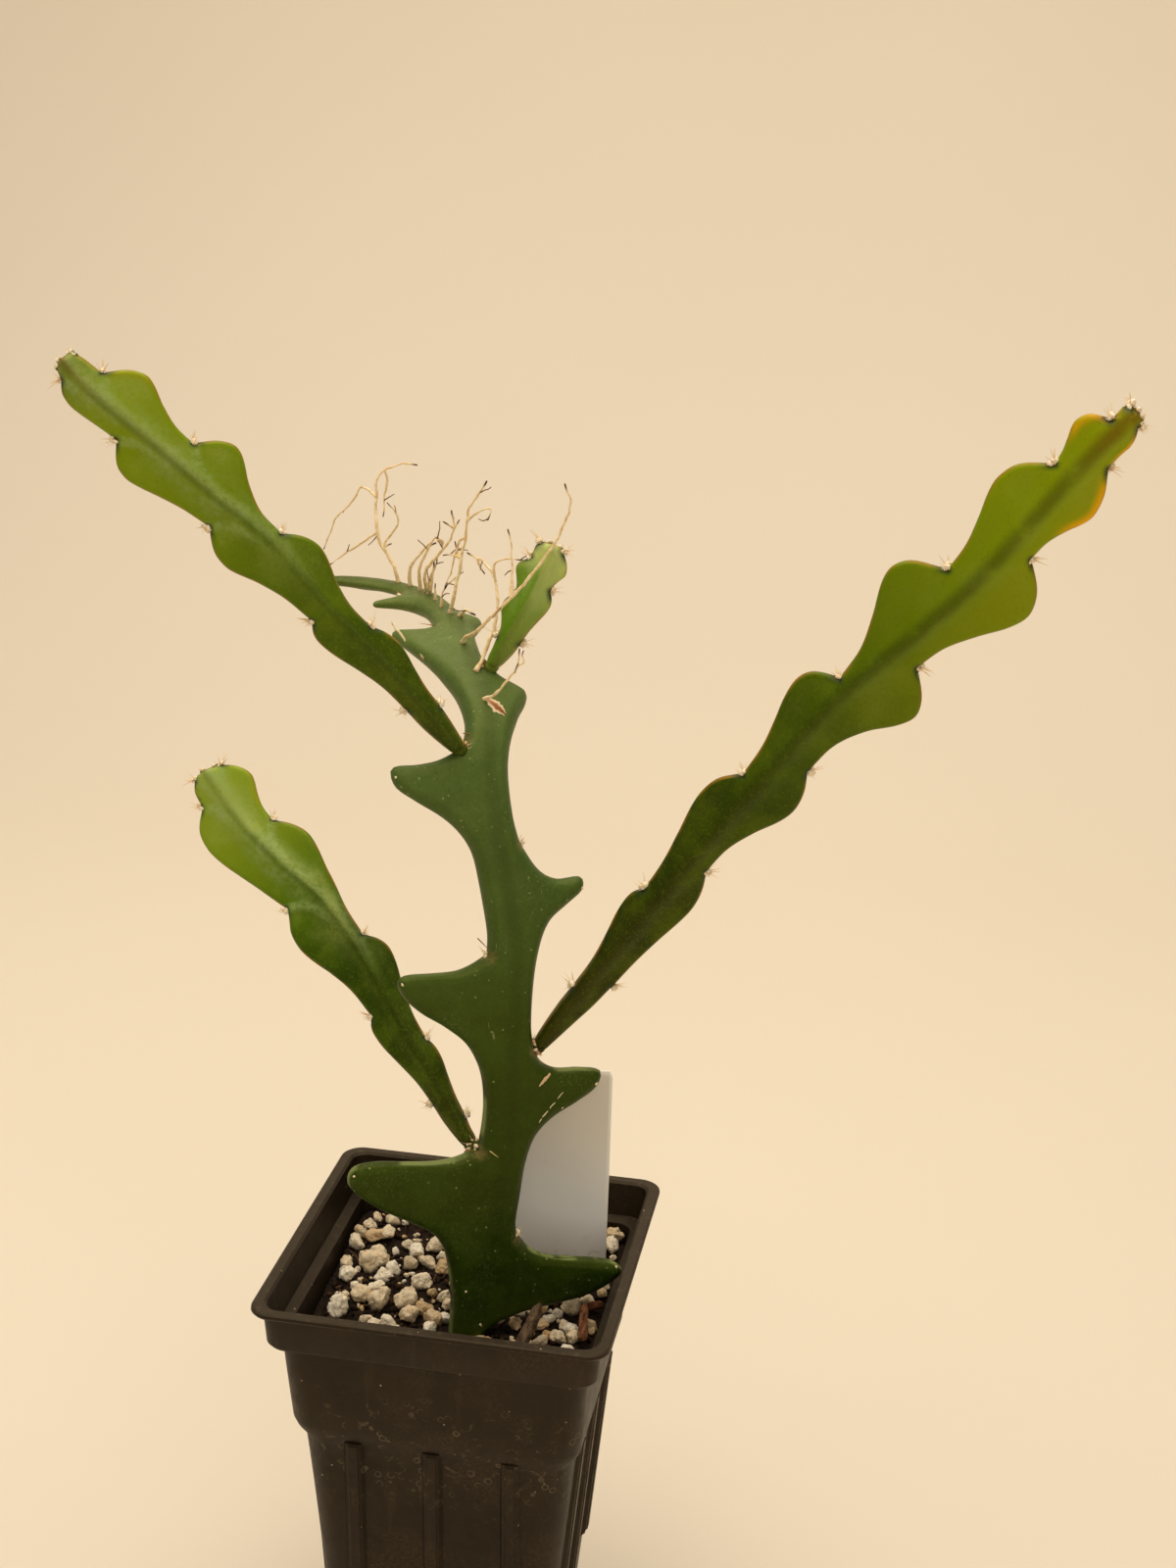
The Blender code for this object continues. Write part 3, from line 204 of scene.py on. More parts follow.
# Aerial roots: each root, then its side roots. A root's first pair is its seat on the main stem's face
ROOTS = {
    "aerial_root_far": [
        [(247.5, 1.0), (-42, 83.5, 283), (-44, 84.5, 286), (-47, 85.5, 290.5), (-48, 87, 296),
         (-48.5, 88.5, 303), (-47.5, 89.5, 307.5), (-43, 91, 310), (-38, 92, 310)],
        [(-45.5, 85, 288), (-44.5, 85, 290.5), (-41, 83, 295), (-41.5, 81, 299.5), (-43, 80, 301.5)],
        [(-48.5, 88.5, 301), (-53.5, 91.5, 303), (-56, 93, 299), (-61.5, 95, 293.5), (-64.5, 97, 287.5),
         (-66.5, 98.5, 283)],
        [(-47.5, 86, 291.5), (-53.5, 90, 287.5), (-58, 92.5, 284), (-64, 96, 279.5)],
        [(-46.7, 90, 308.2), (-46, 90.5, 305), (-46.5, 90, 301), (-46.5, 88.5, 295.5)],
    ],
    "aerial_root_hook": [
        [(242.5, 1), (-36.5, 79.5, 284), (-33, 78, 289), (-28.5, 76.5, 293.5), (-27, 76, 293)],
    ],
    "aerial_root_bent": [[(237, 1), (-32.5, 74.5, 285.5), (-30, 73.5, 291.5), (-28, 73.5, 293)]],
    "aerial_root_pale": [
        [(233.5, 1.2), (-29.5, 69, 286), (-26, 67.5, 290.5), (-23.5, 66.5, 294), (-21, 65.5, 299),
         (-21.5, 64, 304)],
    ],
    "aerial_root_straight": [[(230, 0.6), (-27.5, 65.5, 285.5), (-26.5, 64.5, 288), (-26, 64, 290)]],
    "aerial_root_forked": [
        [(209.5, 0), (-17.5, 51, 284), (-16.5, 52, 291), (-15, 53, 299.5), (-14.5, 53.5, 306.5),
         (-11.5, 52.5, 311.5), (-9.5, 52, 314.5)],
        [(-14.5, 53, 303.5), (-12, 52, 306.5), (-8, 51, 307.5), (-8.5, 50, 305)],
        [(-15, 53, 299.5), (-17, 54.5, 298), (-19.5, 56, 290), (-21.5, 57.5, 284.5)],
    ],
    "aerial_root_arched": [
        [(176.5, -0.75), (-2.5, 26.5, 279.5), (-1.5, 29.5, 286), (-2, 32, 291.5), (-5, 35, 296.5),
         (-11, 38, 299)],
        [(-2.8, 32.8, 293.3), (-3, 33, 297.5), (0.5, 32.5, 299.5), (4.5, 32, 299.5)],
    ],
    "aerial_root_long": [
        [(189.5, -1.5), (-8, 29, 280.5), (-4.5, 23.5, 283.5), (1, 20, 290), (6, 19, 295), (11, 18, 301.5),
         (14.5, 17.5, 306.5), (17, 17, 312.5), (18.5, 17, 318.5), (17, 17, 322)],
        [(3.8, 19.5, 293), (4, 21, 299), (3.5, 22, 305), (2.5, 22.5, 309)],
    ],
    "aerial_root_low": [[(166.5, -0.75), (4, 10, 273), (6.5, 9.5, 276), (8.5, 8.5, 279.5), (9, 7, 284)]],
    "aerial_root_back": [[(207, 2), (-13.5, 47.5, 281.5), (-10.5, 46.5, 280.8)]],
}

# The roots' radii, the shape of the hooked root's head, and the fine strands that some roots have besides,
# from the nearest place of the root or, where a first pair is given, from a seat
ROOT_RADIUS, SIDE_ROOT_RADIUS = 0.47, 0.32
ROOT_FINE = {"aerial_root_low": 0.75}
HOOK_HEAD = [(-0.6, 0, -0.2), (0.2, 0, 0.1), (0.6, 0, -0.5), (0.4, 0, -1.3)]
EXTRA_STRANDS = {
    "aerial_root_far": [[(-45.5, 86, 287.5), (-44.6, 85.2, 288.4), (-43, 84, 289.5)]],
    "aerial_root_pale": [
        [(-21, 65.5, 299), (-22, 64, 300), (-23.5, 63, 301)],
        [(-21, 65.5, 299), (-20.5, 66, 300), (-20, 67, 301)],
        [(229.5, 0.75), (-27.5, 69, 285.5), (-26.5, 68.5, 288), (-26, 68, 290)],
    ],
    "aerial_root_straight": [[(223, 0), (-25.5, 63.5, 283), (-25.5, 63, 284.5)]],
    "aerial_root_forked": [
        [(216.5, -0.5), (-22, 57.5, 283.5), (-21, 57.5, 285.5)],
        [(-19, 56, 292), (-17.5, 55, 289), (-21, 57, 285.5)],
        [(-17, 53, 294), (-20, 55.5, 294), (-21.5, 55, 294)],
        [(-16, 52.5, 293), (-18, 55.5, 295.5), (-18.5, 55, 298)],
    ],
    "aerial_root_arched": [[(-8.5, 36, 298), (-7.5, 36.5, 296), (-6.5, 37, 294)]],
    "aerial_root_low": [[(8.5, 8, 279), (10, 8, 280.5), (9.5, 8, 282), (10, 8, 283)]],
}

# Stones that the photograph shows: place on the mix and radius. The rest are strewn by rule
STONES_SEEN = [
    (-31.5, 29.5, 1.5), (-34, 21.5, 1.9), (-33.5, 16.5, 2.2), (-30, 20.5, 2.1), (-32.5, 25, 1.7),
    (-26.5, 22, 2.4), (-20.5, 19.5, 1.7), (-24, 30, 1.1), (-34, 8, 2.1), (-32, 1.5, 2.4), (-28, 8, 3.1),
    (-25.5, 10.5, 2.6), (-23, 3.5, 2.2), (-21, 6.5, 2.1), (-17.5, 10, 2.1), (-17, 15.5, 2.1), (-13, 12, 2.5),
    (-12.5, 19, 2.5), (-8.5, 10.5, 2.6), (-10, 16, 1.7), (-12, 2.5, 2.7), (-8.5, -0.5, 1.7), (-5, -1.5, 2),
    (-3.5, -5.5, 2), (-8.5, -8.5, 2), (-14, -6.5, 3), (-11.5, -12.5, 2.9), (-5, -13, 2.4), (-5, -17, 2),
    (-2, -11.5, 2), (-26, -6.5, 2.9), (-21, -8, 3.5), (-23.5, -2, 2.2), (-30, -14, 3.3), (-32.5, -6, 0.8),
    (-22.5, -15, 1.6), (-16.5, -15.5, 2.6), (-20, -16.5, 1.6), (-10.5, -5, 0.8), (-30.5, 5.5, 1),
    (6.5, -15.5, 1.5), (10, -14, 1.7), (12, -10.5, 1.4), (15.5, -9.5, 2.1), (14, -14.5, 2), (21.5, -9.5, 1.9),
    (23.5, -7.5, 1.9), (25, -4, 1.6), (28, -1.5, 2.6), (24, -12.5, 1.6), (27, -13.5, 2.3), (23, -16, 2),
    (29.5, -9.5, 1.9), (31, -13, 1.9), (33.5, -15, 2.1), (34.6, -8, 2), (34.4, -12, 2), (34.4, -2, 1.6),
    (34.6, 7.5, 1.5), (34.4, 11.5, 2), (33, 33, 2.9), (33.8, 28.4, 2.4), (14, 25.5, 2.1), (6.5, 32, 0.9),
    (27.5, -7.5, 1.5), (19.5, -13.5, 1.5), (8.5, -17, 1.2),
]
STONE_COUNT, GRIT_COUNT, CRUMB_COUNT, SHRED_COUNT = 135, 420, 900, 90

# Bark: each piece's two ends and its radius
BARK_ROWS, BARK_SIDES = 26, 22
BARK_PIECES = {
    "bark_stick": ((18.3, -27.6, 111.6), (22.8, -15.6, 121.9), 2.1),
    "bark_chip_upright": ((33.7, -15.6, 112.2), (32.5, -5.8, 117.4), 1.4),
    "bark_chip_flat": ((32.2, -1.0, 113.2), (36.0, 1.2, 113.4), 1.5),
}

# Colours as a screen shows them, 0 to 255, by the share of the way along a stem
SHEEN = (1.0, 0.88, 0.26)
OLD_TONES = [
    (0.05, (48, 66, 8)), (0.10, (24, 42, 3)), (0.28, (34, 52, 5)), (0.36, (44, 62, 8)), (0.46, (60, 82, 31)),
    (0.56, (62, 84, 36)), (0.66, (76, 98, 45)), (0.76, (82, 103, 47)), (1.0, (76, 90, 36)),
]
OLD_LIGHTS = [(0.05, (58, 78, 14)), (0.30, (52, 76, 15)), (0.55, (84, 106, 52)), (0.80, (112, 130, 70))]

# Each young stem's tones, and the strengths of the layers that its skin has over them
YOUNG_LOOKS = {
    "upper_left_stem": {
        "tones": [(0.0, (46, 60, 5)), (0.17, (44, 62, 2)), (0.30, (54, 76, 2)), (0.48, (82, 106, 3)),
                  (0.70, (112, 134, 6)), (0.90, (124, 144, 8)), (1.0, (98, 114, 4))],
        "light": (122, 146, 28), "midrib_width": 1.8, "midrib_depth": 0.60,
        "midrib": [(0.0, (34, 52, 12)), (0.6, (62, 84, 20)), (0.9, (86, 98, 44)), (1.0, (104, 84, 50))],
        "painted_midrib_sheen": 0.45, "bloom": 0.35, "gold": 0.10, "glaucous": 0.50,
    },
    "right_stem": {
        "tones": [(0.0, (26, 26, 1)), (0.12, (26, 38, 1)), (0.30, (30, 50, 1)), (0.40, (36, 58, 1)),
                  (0.54, (58, 82, 1)), (0.70, (100, 122, 1)), (0.86, (128, 148, 1)), (1.0, (138, 152, 2))],
        "light": (112, 134, 6), "yellow": 0.22, "midrib_width": 3.0, "midrib_depth": 0.75,
        "midrib": [(0.0, (34, 38, 3)), (0.25, (24, 34, 1)), (0.6, (44, 64, 1)), (0.8, (68, 80, 2)),
                   (0.92, (84, 92, 2)), (0.97, (106, 76, 6)), (1.0, (108, 58, 10))],
        "bloom": 0.08, "gold": 0.90,
    },
    "lower_left_stem": {
        "tones": [(0.0, (24, 26, 1)), (0.22, (28, 46, 1)), (0.50, (36, 62, 1)), (0.66, (72, 102, 3)),
                  (0.82, (116, 138, 22)), (1.0, (142, 166, 46))],
        "light": (116, 142, 28), "midrib_width": 1.6, "midrib_depth": 0.60,
        "midrib": [(0.0, (28, 34, 5)), (0.5, (34, 52, 3)), (0.85, (74, 96, 26)), (1.0, (104, 116, 58))],
        "painted_midrib_sheen": 0.45, "bloom": 0.40, "gold": 0.08, "glaucous": 0.58,
    },
    "top_stem": {
        "tones": [(0.0, (96, 112, 40)), (0.5, (128, 154, 64)), (0.85, (190, 202, 114)),
                  (1.0, (204, 204, 126))],
        "light": (150, 172, 76), "midrib_width": 1.6, "midrib_depth": 0.40,
        "midrib": [(0.0, (72, 86, 28)), (1.0, (108, 122, 52))],
        "painted_midrib_sheen": 0.30, "bloom": 0.35, "glaucous": 0.55, "painted_left_shade": 0.85,
    },
}
# The layers that a look may leave out
NO_LAYERS = {"yellow": 0.0, "painted_midrib_sheen": 0.0, "gold": 0.0, "glaucous": 0.0, "painted_left_shade": 0.0}

# The camera: its place and angles, found from the rim's four corners, and its lens on a 36 mm tall sensor
CAMERA_PLACE = (112.9, -496.3, 422.6)
CAMERA_ANGLES = (71.48, -1.775, 10.317)
CAMERA_LENS = 51.41

# The floor's half width, its front edge, where its curve starts, the curve's radius and the wall's height
STAGE_SIZES = (2600.0, -1500.0, 620.0, 500.0, 1600.0)

# The values that each vertex of a stem carries, and a distance past all that matter
STEM_VALUES = ("along", "out", "inset", "areole", "shoulder", "vein")
FAR = 99.0

# How finely stems are drawn: points along a midrib and a margin, and each surface's row spacing and columns
MIDRIB_POINTS, MARGIN_POINTS = 300, 6000
OLD_GRID = ((1.1, 18))
YOUNG_GRID = ((0.75, 15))

# Seeds of the random draws, and how often a place is tried for the strewn stones
MIX_SEED, STONE_SEED, BARK_SEED, SCAR_SEED, TIP_SEED, FOOT_SEED, ROOT_SEED = 5, 21, 60, 71, 80, 90, 200
STONE_TRIES = 20000

# Sizes of fine things: a wool hair's radius, a long spine's and a shred's, how near a young stem's foot
# an areole has no spines outward, and the count of scales round that foot
WOOL_RADIUS, LONG_SPINE_RADIUS, SHRED_RADIUS, FOOT_REACH = 0.055, 0.15, 0.28, 6.5
COLLAR_SCALES = 13


class Gather:
    """Collects vertices in millimetres, faces and per-vertex values, and makes one piece of them."""

    def __init__(self, *value_names):
        self.verts = []
        self.faces = []
        self.values = {name: [] for name in value_names}

    def add(self, verts, faces, **values):
        start = len(self.verts)
        self.verts.extend(tuple(vert) for vert in verts)
        self.faces.extend(tuple(start + i for i in face) for face in faces)
        for name, kept in self.values.items():
            value = values.get(name, 0.0)
            kept.extend(list(value) if hasattr(value, "__len__") else [value] * len(verts))

    def lay(self, form, place, **values):
        """Adds a form's vertices and faces, moved to a place."""
        verts, faces = form
        self.add(verts + place, faces, **values)

    def piece(self, name, material, slot, *nodes, sharp=None):
        mesh = mesh_of(name, self.verts, self.faces)
        for value_name, values in self.values.items():
            layer = mesh.attributes.new(value_name, "FLOAT", "POINT")
            layer.data.foreach_set("value", np.array(values, np.float32))
        bm = bmesh.new()
        bm.from_mesh(mesh)
        bmesh.ops.recalc_face_normals(bm, faces=bm.faces)
        bm.to_mesh(mesh)
        bm.free()
        mesh.shade_smooth()
        if sharp:
            mesh.set_sharp_from_angle(angle=math.radians(sharp))
        mesh.materials.append(material)
        obj = put_in_scene(name, mesh)
        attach(obj, "root")
        if nodes:
            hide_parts(*nodes)
        return obj


def mesh_of(name, verts, faces):
    """A mesh in metres, from vertices in millimetres."""
    mesh = bpy.data.meshes.new(name)
    mesh.from_pydata([tuple(c * MM for c in vert) for vert in verts], [], faces)
    return mesh


def put_in_scene(name, data):
    obj = bpy.data.objects.new(name, data)
    bpy.context.scene.collection.objects.link(obj)
    return obj


def unit(way):
    way = np.array(way, float)
    return way / np.linalg.norm(way)


def unit_rows(ways):
    return ways / np.linalg.norm(ways, axis=1)[:, None]


def turned(side, other, part):
    """The way that lies that part of a full turn round from one side towards the other."""
    angle = 2 * math.pi * part
    return math.cos(angle) * side + math.sin(angle) * other


def ring_sides(rings, count):
    """The faces between rings of that many vertices each."""
    faces = []
    for low in range(0, (rings - 1) * count, count):
        ring, upper = list(range(low, low + count)), list(range(low + count, low + 2 * count))
        faces += zip(ring, ring[1:] + ring[:1], upper[1:] + upper[:1], upper)
    return faces


def capped_rings(rings, count):
    """The same, with one flat face across each end."""
    last = (rings - 1) * count
    return ring_sides(rings, count) + [tuple(range(count)), tuple(range(last, last + count))]


def pointed_rings(rings, count):
    """The same, with triangles to a pole at each end. The two poles come after all the rings' vertices."""
    faces = ring_sides(rings, count)
    last, start_pole = (rings - 1) * count, rings * count
    for k in range(count):
        after = (k + 1) % count
        faces += [(k, after, start_pole), (last + k, last + after, start_pole + 1)]
    return faces


def grid_faces(columns, rows):
    """The faces of a grid whose vertices run row by row."""
    lows = [j * (columns + 1) + i for j in range(rows) for i in range(columns)]
    return [(low, low + 1, low + columns + 2, low + columns + 1) for low in lows]


def grid_border(columns, rows):
    """The vertices round a grid's border, in order."""
    width = columns + 1
    border = list(range(columns)) + [columns + j * width for j in range(rows)]
    border += [width * (rows + 1) - 1 - i for i in range(columns)]
    return border + [(rows - j) * width for j in range(rows)]


def spline_at(chords, knots, value):
    """A smooth curve through the knots, each span a cubic set by its neighbours."""
    i = min(max(int(np.searchsorted(chords, value)) - 1, 0), len(knots) - 2)
    width = chords[i + 1] - chords[i]
    share = (value - chords[i]) / width
    slopes = []
    for k in (i, i + 1):
        low, high = max(k - 1, 0), min(k + 1, len(knots) - 1)
        slopes.append((knots[high] - knots[low]) / (chords[high] - chords[low]) * width)
    square, cube = share ** 2, share ** 3
    return (
        (2 * cube - 3 * square + 1) * knots[i] + (cube - 2 * square + share) * slopes[0]
        + (3 * square - 2 * cube) * knots[i + 1] + (cube - square) * slopes[1]
    )


def chord_lengths(points):
    return np.r_[0, np.cumsum(np.linalg.norm(np.diff(points, axis=0), axis=1))]


def rounded_line(points, per_span=9):
    """A smooth line through an outline's points."""
    knots = np.array(points, float)
    chords = chord_lengths(knots)
    values = []
    for low, high in zip(chords, chords[1:]):
        values += [low + (high - low) * step / per_span for step in range(per_span)]
    values.append(chords[-1])
    return np.array([spline_at(chords, knots, value) for value in values])


def spline_points(points, count):
    """That many points, evenly spread on a smooth curve through the given ones."""
    knots = np.array(points, float)
    chords = chord_lengths(knots)
    return np.array([spline_at(chords, knots, value) for value in np.linspace(0, chords[-1], count)])


def smooth_path(points, step):
    """Points about that far apart on such a curve."""
    length = chord_lengths(np.array(points, float))[-1]
    return spline_points(points, max(int(length / step), 3) + 1)


def distance_to_line(points, line):
    """The distance from each point to a broken line."""
    start, ray = line[:-1], np.diff(line, axis=0)
    length = np.maximum((ray * ray).sum(1), 1e-9)
    found = np.empty(len(points))
    for low in range(0, len(points), 400):
        some = points[low:low + 400, None, :]
        share = np.clip(((some - start) * ray).sum(2) / length, 0, 1)
        gap = np.linalg.norm(start + share[..., None] * ray - some, axis=2)
        found[low:low + 400] = gap.min(1)
    return found


def fanned_rows(lobe):
    """Where on the midrib the row to each point of a lobe's edge starts: rows fan out of the lobe's root."""
    along, out = lobe[:, 0], lobe[:, 1]
    reach = out.max() - out.min()
    share = (out - out.min()) / max(reach, 1e-6)
    root = along[share > 0.5].mean()
    pull = 0.8 * reach / (reach + 6)
    return along + share * pull * (root - along)


def young_margin(marks, side, length):
    """Lobes for a young stem. Each rises gently from one areole to its tip and drops steeply to the next."""
    first_areole = marks[0]
    middle = (first_areole[0] * 0.6, max(YOUNG_FOOT_HALF, first_areole[1] * 0.88))
    lobes = [[(0.3, YOUNG_FOOT_HALF * 0.6), (1.2, YOUNG_FOOT_HALF), middle, first_areole]]
    for i in range(1, len(marks) - 1, 2):
        root, tip, areole = marks[i - 1], marks[i], marks[i + 1]
        rise = tip[0] - root[0]
        drop = areole[0] - tip[0]
        lobes.append(
            [root]
            + [(root[0] + go * rise, root[1] + swell * (tip[1] - root[1])) for go, swell in YOUNG_RISE[side]]
            + [tip, (tip[0] + 0.5 * drop, areole[1] + YOUNG_DROP[side] * (tip[1] - areole[1])), areole]
        )
    end = marks[-1]
    lobes.append([end, (end[0] + 0.6 * (length - end[0]), end[1] * 0.8), (length - 0.3, end[1] * 0.55)])
    return lobes


class Stem:
    """A flat leafless stem: a midrib in space, the way its face looks along it, and its two margins."""

    def __init__(self, path, face, margins, section, roughness, seed, stub=0.0, veins=False):
        self.section, self.roughness, self.seed = section, roughness, seed
        self.stub, self.veins = stub, veins
        self.points = spline_points(path, MIDRIB_POINTS)
        self.along = chord_lengths(self.points)
        self.length = self.along[-1]
        tangents = unit_rows(np.gradient(self.points, self.along, axis=0))
        self.normals = np.empty_like(self.points)
        normal = np.array(face, float)
        for i, tangent in enumerate(tangents):
            normal = unit(normal - normal.dot(tangent) * tangent)
            self.normals[i] = normal
        self.acrosses = np.cross(tangents, self.normals)
        self.margins = {side: self.closed_margin(margins[side]) for side in (-1, 1)}

    def closed_margin(self, lobes):
        """The margin's line, where each of its points' rows starts on the midrib, areoles and shoulders."""
        line, rows, areoles, shoulders = [(0.0, 0.0)], [0.0], [], []
        for lobe in lobes:
            smooth = rounded_line([(along + self.stub, out) for along, out in lobe])
            starts = fanned_rows(smooth)
            first = 0 if len(line) == 1 else 1
            line += [tuple(point) for point in smooth[first:]]
            rows += list(starts[first:])
            areoles.append(line[-1])
            top = int(np.argmax(smooth[:, 1]))
            shoulders.append(smooth[min((top + len(smooth) - 1) // 2, len(smooth) - 2):])
        line.append((self.length, 0.0))
        rows.append(self.length)
        line = np.array(line)
        rows = np.maximum.accumulate(rows) + np.linspace(0, 1e-6, len(rows))
        return {
            "line": line, "rows": rows, "travelled": chord_lengths(line),
            "areoles": areoles[:-1], "shoulders": shoulders[:-1],
        }

    def frame_at(self, along):
        """The midrib's point, the way across and the face's normal there, for one distance or many."""
        return [
            np.stack([np.interp(along, self.along, values[:, axis]) for axis in range(3)], axis=-1)
            for values in (self.points, self.acrosses, self.normals)
        ]

    def place(self, along, out, lift=0.0):
        """The point that far along the midrib, out across it and proud of its middle plane."""
        along = np.clip(along, 0.0, self.length)
        point, across, normal = self.frame_at(along)
        fold = np.abs(out) * math.tan(math.radians(self.section["fold"]))
        return point + np.asarray(out)[..., None] * across + np.asarray(lift - fold)[..., None] * normal

    def on_sides(self, out):
        """Each margin, with which of the points lie on its side."""
        return (self.margins[-1], out < 0), (self.margins[1], out >= 0)

    def inset(self, along, out):
        """The distance of each point in from the margin."""
        flat = np.stack([along, np.abs(out)], axis=-1)
        result = np.empty(len(flat))
        for margin, chosen in self.on_sides(out):
            if chosen.any():
                result[chosen] = distance_to_line(flat[chosen], margin["line"])
        return result

    def half_thickness(self, along, out, inset):
        core = np.exp(-((out / self.section["core_reach"]) ** 2))
        thick = self.section["wing"] + (self.section["core"] - self.section["wing"]) * core
        places, shares = zip(*self.section["slim"])
        thick = thick * np.interp(along - self.stub, places, shares)
        edge = np.maximum(self.section["edge"], 0.3 * thick * core)
        shrink = 1 - np.minimum(inset / edge, 1)
        return thick / 2 * np.sqrt(np.maximum(1 - shrink * shrink, 0))

    def areoles(self):
        """Each areole as (along, out), out below zero on the left."""
        return [(along, side * out) for side in (-1, 1) for along, out in self.margins[side]["areoles"]]

    def vein_relief(self, along, out):
        """Low ridges that run out from the midrib to each areole."""
        relief = np.zeros(len(along))
        for areole_along, areole_out in self.areoles() if self.veins else ():
            start = np.array([areole_along - VEIN_LEAD, 0.0])
            line = np.array([start, (areole_along - 4, areole_out * 0.45), (areole_along, areole_out)])
            gap = distance_to_line(np.stack([along, out], axis=-1), line)
            fade = np.clip(np.abs(out) / 2.5, 0, 1)
            relief = np.maximum(relief, fade * np.exp(-((gap / VEIN_WIDTH) ** 2)))
        return relief

    def lumps(self, places, inset):
        """How far the face stands proud of its plain form at each place."""
        bulges = np.array([noise.fractal(Vector(place * 0.09 + self.seed), 1.0, 2.0, 3) for place in places])
        return bulges * self.roughness * np.clip(inset / 2.0, 0, 1)

    def on_face(self, along, out, lift):
        """Places on the outer face towards the viewer, lifted off it."""
        inset = self.inset(along, out)
        half = self.half_thickness(along, out, inset)
        half += VEIN_HEIGHT * self.vein_relief(along, out) * np.clip(inset / 2.0, 0, 1)
        proud = self.lumps(self.place(along, out, half), inset)
        return self.place(along, out, half + proud + lift)

    def ways_at(self, along):
        """The way across, the face's normal and the way towards the tip there."""
        _, across, normal = self.frame_at(along)
        return across, normal, np.cross(normal, across)

    def spot(self, along, out, lift):
        """One such place, that far along from the soil line."""
        return self.on_face(np.array([along + self.stub]), np.array([float(out)]), lift)[0]

    def margin_point(self, side, station):
        """The margin's point for the row that starts at that station of the midrib."""
        margin = self.margins[side]
        travelled = np.interp(station, margin["rows"], margin["travelled"])
        line = margin["line"]
        return np.array([np.interp(travelled, margin["travelled"], line[:, axis]) for axis in (0, 1)])

    def stations(self, step):
        """Places along the midrib, closer together where a margin runs out to a lobe's tip."""
        dense = np.linspace(0, self.length, MARGIN_POINTS)
        ends = [np.array([self.margin_point(side, value) for value in dense]) for side in (-1, 1)]
        speed = np.max([np.linalg.norm(np.diff(end, axis=0), axis=1) for end in ends], axis=0)
        travelled = np.r_[0, np.cumsum(speed)]
        count = max(int(travelled[-1] / step), 6)
        stations = np.interp(np.linspace(0, travelled[-1], count + 1), travelled, dense)
        for along, _ in self.areoles():
            nearest = 1 + int(np.argmin(np.abs(stations[1:-1] - along)))
            stations[nearest] = along
        return np.unique(stations)

    def surface(self, step, columns, gather):
        """Adds the stem's closed surface: rows from margin to margin over the face and back behind."""
        stations = self.stations(step)[1:-1]
        shares = np.sin(np.linspace(0, math.pi / 2, columns + 1)[1:])
        face = [(-1, share) for share in shares[::-1]] + [(1, 0.0)] + [(1, share) for share in shares]
        row = [(1, side, share) for side, share in face]
        row += [(-1, side, share) for side, share in face[1:-1][::-1]]
        ends = {side: np.array([self.margin_point(side, s) for s in stations]).T for side in (-1, 1)}
        along = [stations + (ends[side][0] - stations) * share for _, side, share in row]
        out = [side * ends[side][1] * share for _, side, share in row]
        along, out = np.stack(along, axis=1).ravel(), np.stack(out, axis=1).ravel()
        lift = np.tile([float(facing) for facing, _, _ in row], len(stations))
        inset = self.inset(along, out)
        inset[np.tile([share == 1.0 for _, _, share in row], len(stations))] = 0.0
        half = self.half_thickness(along, out, inset)
        veins = self.vein_relief(along, out)
        half += VEIN_HEIGHT * veins * np.clip(inset / 2.0, 0, 1)
        places = self.place(along, out, lift * half)
        _, _, normals = self.frame_at(np.clip(along, 0, self.length))
        places = places + normals * (lift * self.lumps(places, inset))[:, None]
        poles = self.place(np.array([0.0, self.length]), np.array([0.0, 0.0]))
        flat = np.stack([along, np.abs(out)], axis=-1)
        areole_gap = np.full(len(along), FAR)
        shoulder_gap = np.full(len(along), FAR)
        for margin, chosen in self.on_sides(out):
            for areole, shoulder in zip(margin["areoles"], margin["shoulders"]):
                gap = np.linalg.norm(flat[chosen] - np.array(areole), axis=1)
                areole_gap[chosen] = np.minimum(areole_gap[chosen], gap)
                gap = distance_to_line(flat[chosen], shoulder)
                shoulder_gap[chosen] = np.minimum(shoulder_gap[chosen], gap)
        gather.add(
            np.r_[places, poles], pointed_rings(len(stations), len(row)),
            along=np.r_[along / self.length, 0, 1], out=np.r_[out, 0, 0], inset=np.r_[inset, 0, 0],
            areole=np.r_[areole_gap, FAR, FAR], shoulder=np.r_[shoulder_gap, FAR, FAR],
            vein=np.r_[veins, 0, 0],
        )


def make_stems():
    """Every stem's form by its node's name."""
    margins = {-1: MAIN_LEFT, 1: MAIN_RIGHT}
    stems = {"main_stem": Stem(MAIN_PATH, MAIN_FACE, margins, MAIN_SECTION, 0.35, 3.0, MAIN_STUB)}
    for seed, (name, young) in enumerate(YOUNG_STEMS.items()):
        section = dict(YOUNG_SECTION, fold=young["fold"])
        length = chord_lengths(np.array(young["path"], float))[-1]
        margins = {-1: young_margin(young["left"], -1, length), 1: young_margin(young["right"], 1, length)}
        stems[name] = Stem(young["path"], young["face"], margins, section, 0.16, 11.0 + seed, veins=True)
    return stems


def tube(gather, points, radii, sides, **values):
    """A closed tube through the points, with a radius for each of them."""
    points = np.array(points, float)
    tangents = np.gradient(points, axis=0)
    tangents /= np.maximum(np.linalg.norm(tangents, axis=1), 1e-9)[:, None]
    side = unit(np.cross(tangents[0], (0.3, 0.5, 0.81)))
    verts = []
    for point, tangent, radius in zip(points, tangents, radii):
        side = unit(side - side.dot(tangent) * tangent)
        other = np.cross(tangent, side)
        verts += [point + radius * turned(side, other, k / sides) for k in range(sides)]
    verts.append(points[0] - tangents[0] * radii[0] * 0.5)
    verts.append(points[-1] + tangents[-1] * radii[-1] * 0.8)
    for name, value in values.items():
        if hasattr(value, "__len__"):
            values[name] = np.r_[np.repeat(value, sides), value[0], value[-1]]
    gather.add(verts, pointed_rings(len(points), sides), **values)


